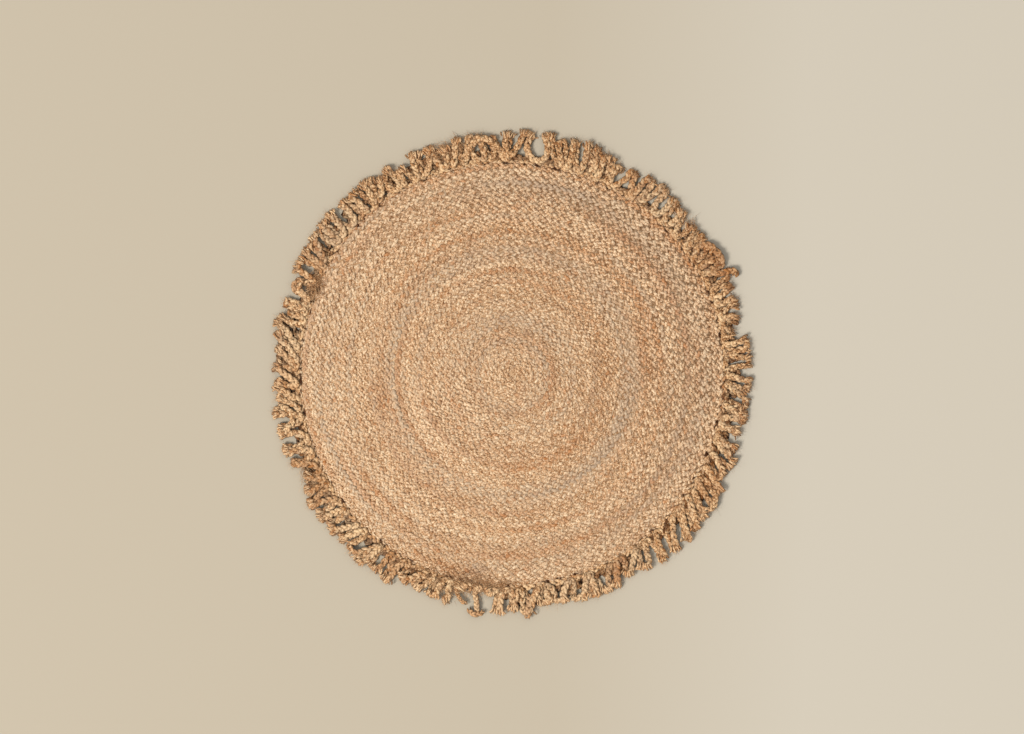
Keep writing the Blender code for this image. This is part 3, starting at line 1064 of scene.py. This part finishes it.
@dataclass
class Locks:
    """Flat locks of fibre that have worked loose and fan out over each head like a brush.

    Each is a curve of three points: from between the legs, over the head's crown, to its outer
    edge. Every second one lies deeper and is painted darker, as painted shade. The pairs from
    stray to half_width are the least and the most of a random length, in millimetres.

    Args:
        route: The plait that they lie on.
        turned: The turns of each of its stations.
        edge: How far that plait's edge is from its middle.
        seed: Chooses them.
        per_loop: How many of them the fullest head has.
        stations: The points of one.
        sides: The sides of its section.
        brush_unrest: How much fuller or barer than the table says a head is.
        legs: Where on the loop its two legs are, in turns.
        shoulders: Where its two shoulders are.
        fan_out: How far the fan of ends goes past the shoulders.
        fan_unrest: How much more or less than that it is from head to head.
        swirl: How far all the ends of a head lean to one side.
        roundness: How much shorter the outermost ends of a fan are.
        past_unrest: How much more or less the locks of one head reach than those of another.
        stray: How far an end strays, sideways.
        past: How far it reaches past the head's edge.
        inside: How far inside the head's middle it starts.
        crown_stray: How far it strays on the crown, sideways.
        crown_height: How high it passes over the crown.
        end_height: How high its end is, against the plait's middle.
        half_width: Half of its width.
        start_height: How high it starts, against the plait's middle.
        sunk: How much lower the deeper ones are at their start, crown and end.
        narrowed: The fan's width at the start and at the crown, as shares of that at the ends.
        crown_swirl: The share of the swirl that shows at the crown.
        taper: Its width at each of its points, as a share of the widest.
        tone: How pale the upper ones are, and how much darker the deeper ones are painted, as
            painted shade.
        tone_unrest: How much that varies from one to another, and from head to head.
        depth: How much painted shade lies on the deeper ones.
        stretch: How much the fibres on it are drawn out.
    """

    route: Route
    turned: np.ndarray
    edge: float
    seed: int
    per_loop: int = 30
    stations: int = 6
    sides: int = 4
    brush_unrest: float = 0.12
    legs: tuple = (0.22, 0.78)
    shoulders: tuple = (0.36, 0.64)
    fan_out: float = 13.0 * MM
    fan_unrest: float = 4.0 * MM
    swirl: float = 7.0 * MM
    roundness: float = 0.85
    past_unrest: float = 1.5 * MM
    stray: tuple = (-7.0, 7.0)
    past: tuple = (-4.0, 2.5)
    inside: tuple = (2.0, 14.0)
    crown_stray: tuple = (-6.0, 6.0)
    crown_height: tuple = (7.5, 10.5)
    end_height: tuple = (-4.5, 1.5)
    half_width: tuple = (1.3, 2.6)
    start_height: float = 4.0 * MM
    sunk: tuple = (2.0 * MM, 3.5 * MM, 1.5 * MM)
    narrowed: tuple = (0.70, 0.85)
    crown_swirl: float = 0.4
    taper: tuple = (0.35, 0.85, 1.0, 1.0, 1.0, 0.65)
    tone: tuple = (0.53, 0.14)
    tone_unrest: tuple = (0.19, 0.14)
    depth: float = 0.40
    stretch: float = 0.35

    def build(self, material: bpy.types.Material) -> bpy.types.Object:
        """Builds the locks of all the heads as one piece."""
        draw = np.random.default_rng(self.seed)
        loops = len(LOOPS)
        thick = np.array([row.brush for row in LOOPS])
        thick = np.clip(thick + draw.normal(0.0, self.brush_unrest, loops), 0.12, 1.0)
        kept = (draw.random((loops, self.per_loop)) < thick[:, None]).ravel()
        number = np.repeat(np.arange(loops), self.per_loop)[kept]
        share = 2.0 * (np.arange(self.per_loop) + 0.5) / self.per_loop - 1.0
        share = np.tile(share, loops)[kept][:, None]
        in_shade = np.tile(np.arange(self.per_loop) % 2, loops)[kept][:, None]
        count = len(number)

        def at(turn: float) -> np.ndarray:
            """The plait's place at a turn of each lock's loop."""
            return path_at(self.route.centres, self.turned, number + turn)

        def of_loop(spread: float) -> np.ndarray:
            """A random value for each loop, from -spread to spread, given to its locks."""
            return draw.uniform(-spread, spread, loops)[number][:, None]

        def between(low: float, high: float) -> np.ndarray:
            """A random length for each lock."""
            return draw.uniform(low, high, (count, 1)) * MM

        head, flat = at(0.5), np.array([1.0, 1.0, 0.0])
        axis = unit((head - (at(self.legs[0]) + at(self.legs[1])) / 2.0) * flat)
        across = np.stack([-axis[:, 1], axis[:, 0], np.zeros(count)], axis=-1)
        upright = along_part(axis, unit(head * flat))
        upright = np.linalg.norm(upright, axis=-1, keepdims=True)
        broad = (at(self.shoulders[0]) - at(self.shoulders[1])) * flat
        broad = np.linalg.norm(broad, axis=-1, keepdims=True) / 2.0
        fan = broad + (self.fan_out + of_loop(self.fan_unrest)) * upright
        swirl = of_loop(self.swirl)
        share = share + draw.uniform(-0.12, 0.12, (count, 1))

        aside = np.clip(share * fan + swirl + between(*self.stray), -fan, fan)
        rounded = np.sqrt(1.0 - self.roundness * (aside / fan) ** 2)
        reach = (self.edge + between(*self.past) + of_loop(self.past_unrest)) * rounded
        start = head - axis * between(*self.inside) + across * share * fan * self.narrowed[0]
        start = start + UP * (self.start_height - in_shade * self.sunk[0])
        crown = share * fan * self.narrowed[1] + swirl * self.crown_swirl
        crown = head + across * (crown + between(*self.crown_stray))
        crown = crown + UP * (between(*self.crown_height) - in_shade * self.sunk[1])
        end = head + axis * reach + across * aside
        end = end + UP * (between(*self.end_height) - in_shade * self.sunk[2])
        part = np.linspace(0.0, 1.0, self.stations)[:, None]
        path = start[:, None] * (1 - part) ** 2 + end[:, None] * part**2
        path = path + crown[:, None] * 2 * part * (1 - part)
        path[..., 2] = np.clip(path[..., 2], LOWEST + 0.7 * MM, HIGHEST - 0.5 * MM)
        side, above = level_frames(path)
        wide = between(*self.half_width) * np.array(self.taper)
        along = np.cumsum(np.linalg.norm(np.diff(path, axis=1, prepend=path[:, :1]), axis=2), 1)
        along = self.stretch * along + FIBRE_GAP * np.arange(count)[:, None]
        skin = tubes(path, side, above, wide, 0.5 * wide, self.sides, along)
        # Painted shade: the deeper locks are painted darker.
        tone = self.tone[0] - self.tone[1] * in_shade[:, 0]
        tone = tone + draw.normal(0.0, self.tone_unrest[0], count)
        tone = tone + of_loop(self.tone_unrest[1])[:, 0]
        plain_colour(skin, self.stations * self.sides, tone, draw, self.depth * in_shade[:, 0])
        return add_piece("fringe_locks", skin, material)


@dataclass
class Frizz:
    """Single fibres that stand off the fringe, most of them at its heads, and its tufts.

    Args:
        route: The plait that they stand on.
        turned: The turns of each of its stations.
        seed: Chooses them.
        loose: How many of them stand on the plait.
        stations: The points of one.
        sides: The sides of its section.
        head_share: How many of those are at the heads, as a share.
        head_spread: How far they stand from the middle of the head, in turns.
        fan: How far they turn from outwards, in radians.
        rise: The least and the most that one rises for its length.
        length: The least and the most of its length, in millimetres.
        lift: The least and the most that its root lies above the plait's middle, likewise.
        root_out: How far from the plait's middle its root is, in millimetres.
        curl: How far it bends for its length.
        droop: How far it bends down for its length.
        half_width: The least and the most of half its width, in millimetres.
        taper: Its width at each of its points, as a share of the widest.
        stretch: How far the count along it goes.
        tone: How pale one is on the plait.
        tone_unrest: How much that varies.
        tuft_height: How high the tufts lie.
        tuft_fan: How far their fibres turn from outwards, in radians: the mean and the spread.
        tuft_shares: A tuft's rise, length and width, as shares of those of a fibre on the plait.
        tuft_tone: How pale the tufts are.
    """

    route: Route
    turned: np.ndarray
    seed: int
    loose: int = 6500
    stations: int = 4
    sides: int = 3
    head_share: float = 0.72
    head_spread: float = 0.12
    fan: float = 0.9
    rise: tuple = (-0.35, 0.55)
    length: tuple = (6.0, 17.0)
    lift: tuple = (-1.0, 3.5)
    root_out: float = 2.5
    curl: float = 0.35
    droop: float = 0.15
    half_width: tuple = (0.12, 0.28)
    taper: tuple = (1.0, 0.9, 0.7, 0.25)
    stretch: float = 0.05
    tone: float = 0.55
    tone_unrest: float = 0.2
    tuft_height: float = 9.5 * MM
    tuft_fan: tuple = (1.5, 0.5)
    tuft_shares: tuple = (0.3, 1.6, 2.2)
    tuft_tone: float = 0.50

    def build(self, material: bpy.types.Material) -> bpy.types.Object:
        """Builds the fibres and the tufts as one piece."""
        draw = np.random.default_rng(self.seed)
        near = draw.random(self.loose) < self.head_share
        off = draw.normal(0.0, self.head_spread, self.loose)
        off = np.where(near, off, draw.uniform(-0.5, 0.5, self.loose))
        where = draw.integers(0, len(LOOPS), self.loose) + 0.5 + off
        centre = [path_at(self.route.centres, self.turned, where)]
        for row in TUFTS:
            away = row.radius + draw.normal(0.0, row.across, row.fibres)
            bearing = np.radians(row.angle) + draw.normal(0.0, row.along, row.fibres) / away
            centre.append(polar(bearing, away, np.full(row.fibres, self.tuft_height)))
        centre = np.concatenate(centre)
        count = len(centre)
        tuft = np.arange(count) >= self.loose
        rise, long, thick = (np.where(tuft, share, 1.0) for share in self.tuft_shares)
        outward = unit(centre * np.array([1.0, 1.0, 0.0]))
        tangent = np.stack([-outward[:, 1], outward[:, 0], np.zeros(count)], axis=-1)
        tuft_fan = self.tuft_fan[0] + draw.normal(0.0, self.tuft_fan[1], count)
        fan = np.where(tuft, tuft_fan, draw.normal(0.0, self.fan, count))
        heading = outward * np.cos(fan)[:, None] + tangent * np.sin(fan)[:, None]
        heading = unit(heading + UP * (draw.uniform(*self.rise, count) * rise)[:, None])
        length = (draw.uniform(*self.length, count) * long)[:, None] * MM
        root = centre + heading * self.root_out * MM
        root = root + UP * draw.uniform(*self.lift, count)[:, None] * MM
        bend = draw.normal(0.0, self.curl, (count, 3)) - UP * self.droop
        part = np.linspace(0.0, 1.0, self.stations)[:, None]
        path = root[:, None] + (heading[:, None] * part + bend[:, None] * part**2) * length[:, None]
        path[..., 2] = np.clip(path[..., 2], 2.0 * LOWEST, HIGHEST)
        side, above = level_frames(path)
        thin = draw.uniform(*self.half_width, count) * thick * MM
        thin = thin[:, None] * np.array(self.taper)
        along = self.stretch * part[:, 0] + FIBRE_GAP * np.arange(count)[:, None]
        skin = tubes(path, side, above, thin, thin, self.sides, along)
        tone = np.where(tuft, self.tuft_tone, self.tone) + draw.normal(0.0, self.tone_unrest, count)
        plain_colour(skin, self.stations * self.sides, tone, draw, np.zeros(count))
        return add_piece("fringe_frizz", skin, material)


@dataclass
class Fringe:
    """The edging plait: it runs along the rim and is thrown out into one loop after another.

    Args:
        radius: The mean radius of the disc's edge.
        yarn: The plait's sizes.
        rim_yarn: The sizes of the straight plait along the rim.
        rim_run: How far outside the disc's edge the middle of that one runs.
        rim_middle: How high it lies.
        run: How far outside the disc's edge its middle runs.
        middle: How high its middle lies.
        crossing: How far its two legs lie above and below that where they cross.
        low_middle: How high the middle of the lower tier lies.
        low_crossing: How far that one's legs lie apart in height, as a share of the crossing.
        brush: How far the loose fibres stand out past the plait at the heads.
        slack: How much wider than the table says each loop spreads.
        unrest: How far the loops spread and lean more or less than that.
        angle_unrest: How far they stand from the table's angle, in degrees.
        astray: How far their feet stray along the rim.
        waver: How far the plait wavers along the rim on its way.
        heave: How far it strays up and down, most at the heads.
        shake: How far it strays inwards and outwards.
        shortfall: How much shorter than the table says a loop may be.
        least_reach: How far out the shortest loop goes.
        swell: How far a head spreads along the rim in half a turn, at the usual step.
        usual_step: The angle from the head before to the head after where heads are that wide.
        tilt: How far the heads of the upper tier tilt outwards, in degrees.
        tilt_unrest: How much more or less than that.
        roll: How far the plait rolls to one side or the other, in degrees.
        lower_tier_shade_tone: How much darker the lower tier is painted, as painted shade.
        lower_tier_shade: How much painted shade lies on it, as between strands.
        upper_tier_light_tone: How much paler the upper tier is painted, as painted light.
        head_tone: How much darker its heads are.
        mottle: How much paler or darker one stretch of a strand is than another.
        head_rust: How orange the heads are, and how much more so where the yarn is darker.
        samples: Steps for each loop in the first drawing of the path.
        seed: Chooses the unevenness.
    """

    radius: float
    yarn: Yarn
    rim_yarn: Yarn
    rim_run: float = 5.2 * MM
    rim_middle: float = 4.0 * MM
    run: float = 7.5 * MM
    middle: float = 8.4 * MM
    crossing: float = 2.2 * MM
    low_middle: float = 3.6 * MM
    low_crossing: float = 0.3
    brush: float = 3.0 * MM
    slack: float = 1.5 * MM
    unrest: float = 5.0 * MM
    angle_unrest: float = 0.25
    astray: float = 18.0 * MM
    waver: float = 4.5 * MM
    heave: float = 2.4 * MM
    shake: float = 1.2 * MM
    shortfall: float = 4.0 * MM
    least_reach: float = 4.0 * MM
    swell: float = 60.0 * MM
    usual_step: float = 7.2
    tilt: float = 22.0
    tilt_unrest: float = 30.0
    roll: float = 14.0
    lower_tier_shade_tone: float = -0.18
    lower_tier_shade: float = 0.42
    upper_tier_light_tone: float = 0.12
    head_tone: float = -0.08
    mottle: float = 0.28
    head_rust: tuple = (0.06, 0.35)
    samples: int = 80
    seed: int = 300

    def route(self, tier: Tier) -> tuple[Route, np.ndarray]:
        """The route of the plait all the way round, in one of its two tiers.

        With p a turn for each loop, the plait goes p pitches + spread sin(p) along the rim, and
        between the rim and the tips as a rounded square wave, tanh(cos(p)). The leg that comes
        back lies over the one that goes out. Each foot strays along the rim, so that the legs
        slant this way and that. The lower tier lies flat between the loops of the upper one and
        reaches less far.

        Args:
            tier: Which tier it is.

        Returns:
            The route, and the turns of each of its stations.
        """
        lower = tier is Tier.LOWER
        seed = self.seed + (500 if lower else 0)
        yarn = self.rim_yarn if lower else self.yarn
        count = len(LOOPS)
        turns = np.linspace(0.0, count, count * self.samples + 1)
        loose = np.clip(np.minimum(turns, count - turns), 0.0, 1.0)
        place = turns + (0.5 if lower else 0.0)

        def stray(amount: float, step: float, draw: int) -> np.ndarray:
            """A wander along the plait that dies out at its two ends, where they meet."""
            return amount * loose * wander(turns, step, seed + draw)

        angle = self.column("angle", place) + stray(self.angle_unrest, 1.0, 0)
        phase = TURN * turns
        outward = self.outward(turns)
        spread = self.column("spread", place) + stray(self.unrest, 1.0, 1) + self.slack
        lean = self.column("lean", place) + stray(self.unrest, 1.0, 2)
        edge = edge_radius(angle, self.radius)
        tip = self.column("tip_radius", place) - self.brush
        tip = tip - self.shortfall * np.abs(wander(turns, 0.9, seed + 3))
        reach = tip - self.yarn.sway - self.yarn.half_width - edge - self.run
        reach = reach * (self.column("under", place) if lower else 1.0)
        along_rim = spread * np.sin(phase) + lean * outward**1.2
        off_head = np.mod(turns, 1.0) - 0.5
        ahead, behind = (self.column("angle", np.floor(place) + step) for step in (1.5, -0.5))
        swell = self.swell * ((ahead - behind) / self.usual_step) ** 2
        along_rim = along_rim + swell * off_head * outward**6 + stray(self.waver, 0.31, 4)
        along_rim = along_rim + stray(self.astray, 1.0, 10) * (1.0 - outward)
        away = edge + self.run + np.maximum(reach, self.least_reach) * outward
        away = away + self.shake * wander(turns, 0.17, seed + 5)
        bearing = np.radians(angle) + along_rim / away
        over = -np.tanh(1.6 * np.sin(phase)) * (self.low_crossing if lower else 1.0)
        height = (self.low_middle if lower else self.middle) + self.crossing * over
        height = height + stray(self.heave, 0.33, 6) * outward
        path = polar(bearing, away, height)

        travelled = travelled_along(path)
        along = np.linspace(0.0, travelled[-1], yarn.stations(travelled[-1]))
        centres = path_at(path, travelled, along)
        turned = np.interp(along, travelled, turns)
        head = self.outward(turned) ** 3
        outwards = unit(centres * np.array([1.0, 1.0, 0.0]))
        tilt = np.radians(self.tilt)
        tilt = tilt + np.radians(self.tilt_unrest) * wander(turned, 1.0, seed + 7)
        tilt = (tilt * head)[:, None] * (0.0 if lower else 1.0)
        facing = UP * np.cos(tilt) + outwards * np.sin(tilt)
        roll = np.radians(self.roll) * wander(along, 0.05, seed + 8)
        size = 1.0 + 0.10 * wander(along, 0.07, seed + 9)
        return Route.framed(centres, facing, along, roll, size), turned

    @staticmethod
    def column(name: str, turns: np.ndarray) -> np.ndarray:
        """A value of the loops at a number of turns, where loop n has its head at n + 0.5."""
        count = len(LOOPS)
        values = np.array([getattr(row, name) for row in LOOPS])
        lap = 360.0 if name == "angle" else 0.0
        values = np.concatenate([values[-2:] - lap, values, values[:2] + lap])
        return np.interp(turns, np.arange(-2, count + 2) + 0.5, values)

    @staticmethod
    def outward(turns: np.ndarray) -> np.ndarray:
        """How far out the plait is, from 0 at the rim to 1 at a tip."""
        wave = np.tanh(np.cos(TURN * turns)) / math.tanh(1.0)
        return np.clip(0.5 - 0.5 * wave, 0.0, 1.0)

    def build(self, material: bpy.types.Material) -> list[bpy.types.Object]:
        """Builds the edging plait, the brushed locks on its heads, loose cords and frizz."""
        pieces = []
        for tier in (Tier.LOWER, Tier.UPPER):
            lower = tier is Tier.LOWER
            route, turned = self.route(tier)
            yarn = self.rim_yarn if lower else self.yarn
            skin, heights, place = yarn.strands(route, self.seed + 20)
            yarn_colour(skin, heights, place, self.seed + 80)
            mottle = np.stack([wander(turned, 0.30, self.seed + 40 + k) for k in range(3)])
            mottle = np.repeat(mottle.ravel(), yarn.sides)
            head = np.tile(np.repeat(self.outward(turned) ** 3, yarn.sides), 3)
            # Painted light and shade: the lower tier is painted darker, the upper one paler.
            tone = self.lower_tier_shade_tone if lower else self.upper_tier_light_tone + self.head_tone * head
            skin.carried[Carried.TONE] += self.mottle * mottle + tone
            least, more = self.head_rust
            skin.carried[Carried.RUST] += head * (least + more * np.clip(-mottle, 0.0, 1.0))
            # Painted shade on the lower tier.
            skin.carried[Carried.DEPTH] += self.lower_tier_shade if lower else 0.0
            pieces.append(add_piece(tier.value, skin, material))
        pieces.append(self.add_rim(material))
        for number, row in enumerate(CORDS, start=1):
            pieces.append(self.add_cord(row, f"loose_cord_{number}", material))
        edge = self.yarn.sway + self.yarn.half_width
        pieces.append(Locks(route, turned, edge, self.seed + 200).build(material))
        pieces.append(Frizz(route, turned, self.seed + 400).build(material))
        return pieces

    def add_cord(
        self, row: CordRow, name: str, material: bpy.types.Material
    ) -> bpy.types.Object:
        """A loose cord: a thinner stretch of plait on a smooth curve through its places."""
        yarn = replace(
            self.yarn, pitch=self.yarn.pitch * row.scale, sway=self.yarn.sway * row.scale,
            lift=self.yarn.lift * row.scale, half_width=self.yarn.half_width * row.scale,
            half_height=self.yarn.half_height * row.scale,
        )
        angle, away, height = np.array(row.path).T
        path = polar(np.radians(angle), away, height)
        for _ in range(4):
            cut = np.repeat(path, 2, axis=0)
            cut[1:-2:2] = 0.75 * path[:-1] + 0.25 * path[1:]
            cut[2:-1:2] = 0.25 * path[:-1] + 0.75 * path[1:]
            path = cut
        travelled = travelled_along(path)
        along = np.linspace(0.0, travelled[-1], 2 * yarn.stations(travelled[-1]))
        centres = path_at(path, travelled, along)
        straight = np.zeros(len(along))
        route = Route.framed(centres, UP, along, straight, straight + 1.0)
        seed = self.seed + 700 + int(row.path[0][0])
        skin, heights, place = yarn.strands(route, seed)
        yarn_colour(skin, heights, place, seed)
        return add_piece(name, skin, material)

    def add_rim(self, material: bpy.types.Material) -> bpy.types.Object:
        """The straight plait along the disc's edge that the loops are sewn over."""
        length = TURN * (self.radius + self.rim_run) + 6.0 * MM
        along = np.linspace(0.0, length, self.rim_yarn.stations(length))
        angle = along / (self.radius + self.rim_run)
        away = edge_radius(np.degrees(angle), self.radius) + self.rim_run
        height = self.rim_middle + 0.5 * MM * wander(along, 0.1, self.seed + 30)
        roll = np.radians(8.0) * wander(along, 0.08, self.seed + 31)
        size = 1.0 + 0.06 * wander(along, 0.1, self.seed + 32)
        route = Route.framed(polar(angle, away, height), UP, along, roll, size)
        skin, heights, place = self.rim_yarn.strands(route, self.seed + 33)
        yarn_colour(skin, heights, place, self.seed + 90)
        return add_piece("rim_plait", skin, material)


@dataclass
class Ground:
    """The sewn ground of the disc: the packed fibre and thread between the rounds, painted darker
    as painted shade.

    Args:
        radius: The mean radius of the disc's edge.
        inset: How far it stays inside that edge.
        low: The height of its lower face.
        high: The height of its upper face.
        eye: The radius of the caps at its middle.
        tone: How pale it is.
        depth: How much painted shade it has, for lying between strands.
        spokes: Steps round it.
    """

    radius: float
    inset: float = 5.0 * MM
    low: float = 2.6 * MM
    high: float = 6.0 * MM
    eye: float = 1.0 * MM
    tone: float = 0.4
    depth: float = 0.22
    spokes: int = 180

    def build(self, material: bpy.types.Material) -> bpy.types.Object:
        """Builds the ground as a thin disc: a profile of four points turned on the outline."""
        angle = np.arange(self.spokes) * 360.0 / self.spokes
        edge = edge_radius(angle, self.radius) - self.inset
        eye = np.full_like(edge, self.eye)
        reach = np.stack([eye, edge, edge, eye])
        level = np.array([self.high, self.high, self.low, self.low])[:, None] + 0.0 * reach
        turn = np.radians(angle)
        points = polar(turn, reach, level).reshape(-1, 3)
        ring, spoke = np.meshgrid(np.arange(3), np.arange(self.spokes), indexing="ij")
        following = (spoke + 1) % self.spokes
        first, then = ring * self.spokes, (ring + 1) * self.spokes
        corners = [first + spoke, then + spoke, then + following, first + following]
        quads = np.stack(corners, axis=-1).reshape(-1, 4)
        upper = np.arange(self.spokes)
        lower = 3 * self.spokes + np.arange(self.spokes)[::-1]
        # The flat map: the upper face in its lower left quarter, the lower face in its upper right.
        flat = points[:, :2] / (4.4 * self.radius) + 0.25
        flat = flat + np.where(np.arange(len(points)) >= 2 * self.spokes, 0.5, 0.0)[:, None]
        caps = np.stack([upper, lower])
        order = np.concatenate([quads.ravel(), caps.ravel()])
        skin = Skin(points, quads, caps, flat[order], points.copy())
        for key in Carried:
            skin.carried[key] = np.zeros(len(points))
        skin.carried[Carried.TONE] += self.tone
        # Painted shade: the ground lies between strands and is painted darker.
        skin.carried[Carried.DEPTH] += self.depth
        return add_piece("sewn_ground", skin, material)


@dataclass
class Studio:
    """The floor, the window light, the sky and the camera straight above the rug.

    Args:
        floor_left: The floor's colour on its left, from 0 to 255.
        floor_right: Its colour on its right, painted lighter there as painted light.
        floor_size: The length of its sides.
        window: Where the window light is.
        window_size: The length of its sides.
        window_power: Its power in watts.
        window_colour: Its colour, linear.
        sky: The colour of the light from all round, linear.
        sky_strength: How strong that one is.
        lens: The camera's focal length in millimetres.
        sensor: The width of its sensor in millimetres.
    """

    floor_left: tuple = (187, 176, 156)
    floor_right: tuple = (198, 190, 174)
    floor_size: float = 12.0
    window: tuple = (-18.0, -11.0, 22.0)
    window_size: float = 10.0
    window_power: float = 8600.0
    window_colour: tuple = (1.0, 0.97, 0.935)
    sky: tuple = (0.97, 0.96, 0.95)
    sky_strength: float = 0.58
    lens: float = 85.0
    sensor: float = 36.0

    def build(self) -> None:
        """Builds the floor, the sky, the window light and the camera."""
        self.add_floor()
        self.add_window()
        world = bpy.data.worlds.new("studio")
        world.use_nodes = True
        background = world.node_tree.nodes["Background"]
        background.inputs["Color"].default_value = (*self.sky, 1.0)
        background.inputs["Strength"].default_value = self.sky_strength
        bpy.context.scene.world = world
        bpy.context.scene.view_settings.view_transform = "Standard"
        self.add_camera()

    def add_floor(self) -> None:
        """A plain pale floor, painted a little lighter on its right as painted light."""
        half = self.floor_size / 2.0
        corners = [(-half, -half, 0.0), (half, -half, 0.0), (half, half, 0.0), (-half, half, 0.0)]
        mesh = bpy.data.meshes.new("floor")
        mesh.from_pydata(corners, [], [(0, 1, 2, 3)])
        floor = bpy.data.objects.new("floor", mesh)
        bpy.context.scene.collection.objects.link(floor)
        material = bpy.data.materials.new("floor")
        graph = Graph(material)
        place = graph.output("ShaderNodeTexCoord", {}, {}, "Object")
        # Painted light: the floor is painted lighter towards its right.
        share = ((graph.parts(place)[0] - 0.1) * 1.6).clamped()
        left, right = (*linear(*self.floor_left), 1.0), (*linear(*self.floor_right), 1.0)
        inputs = {"Base Color": graph.mix(share, left, right), "Roughness": 0.9}
        shader = graph.output("ShaderNodeBsdfPrincipled", {}, inputs)
        graph.node("ShaderNodeOutputMaterial", {}, {"Surface": shader})
        mesh.materials.append(material)

    def add_window(self) -> None:
        """A square soft light that faces the rug."""
        data = bpy.data.lights.new("window", "AREA")
        data.size = self.window_size
        data.energy = self.window_power
        data.color = self.window_colour
        light = bpy.data.objects.new("window", data)
        light.location = self.window
        light.rotation_euler = (-Vector(self.window)).to_track_quat("-Z", "Y").to_euler()
        bpy.context.scene.collection.objects.link(light)

    def add_camera(self) -> None:
        """A camera straight above, framed as the picture is."""
        data = bpy.data.cameras.new("camera")
        data.lens = self.lens
        data.sensor_width = self.sensor
        data.clip_end = 100.0
        camera = bpy.data.objects.new("camera", data)
        right = (PICTURE_WIDTH / 2.0 - COIL_CENTRE_PX[0]) * METRES_PER_PIXEL
        up = (COIL_CENTRE_PX[1] - PICTURE_HEIGHT / 2.0) * METRES_PER_PIXEL
        distance = PICTURE_WIDTH * METRES_PER_PIXEL * self.lens / self.sensor
        camera.location = (right, up, distance)
        bpy.context.scene.collection.objects.link(camera)
        bpy.context.scene.camera = camera


BODY_FINISH = JuteFinish(
    name="golden_jute",
    pale=linear(246, 219, 182),
    golden=linear(214, 170, 125),
    brown=linear(146, 98, 58),
    in_shade=linear(70, 38, 14),
    ashen=linear(180, 156, 131),
    rusty=linear(184, 114, 56),
)

FRINGE_FINISH = JuteFinish(
    name="brown_jute",
    pale=linear(241, 206, 160),
    golden=linear(200, 150, 100),
    brown=linear(122, 75, 37),
    in_shade=linear(46, 23, 6),
    ashen=linear(166, 140, 116),
    rusty=linear(170, 104, 44),
)


ROUNDS = 39
BODY_YARN = Yarn(
    pitch=49.5 * MM, sway=5.3 * MM, lift=2.3 * MM, half_width=3.7 * MM, half_height=2.4 * MM
)
FRINGE_YARN = Yarn(
    pitch=40.0 * MM, sway=5.5 * MM, lift=1.8 * MM, half_width=3.9 * MM, half_height=2.6 * MM,
    bulge=0.1, ply=0.6,
)


def main() -> None:
    """Builds the rug's pieces in order, dresses them and sets the stage."""
    logging.basicConfig(level=logging.INFO, format="%(name)s: %(message)s")
    low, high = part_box("braided_body")
    radius = (high[0] - low[0] + high[1] - low[1]) / 4.0
    golden, brown = BODY_FINISH.material(), FRINGE_FINISH.material()

    body_pieces = Coil(radius, ROUNDS, high[2], BODY_YARN).build(golden)
    floor_of_coil = Ground(radius)
    ground = floor_of_coil.build(golden)
    fringe_pieces = Fringe(radius, FRINGE_YARN, BODY_YARN).build(brown)
    for piece in [ground, *body_pieces]:
        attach(piece, BODY)
        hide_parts("braided_body")
    for piece in fringe_pieces:
        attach(piece, BODY)
        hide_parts("loop_fringe")
    across = 2.0 * (radius - floor_of_coil.inset)
    math.pi * across**2 / 4.0
    Studio().build()


if __name__ == "__main__":
    main()
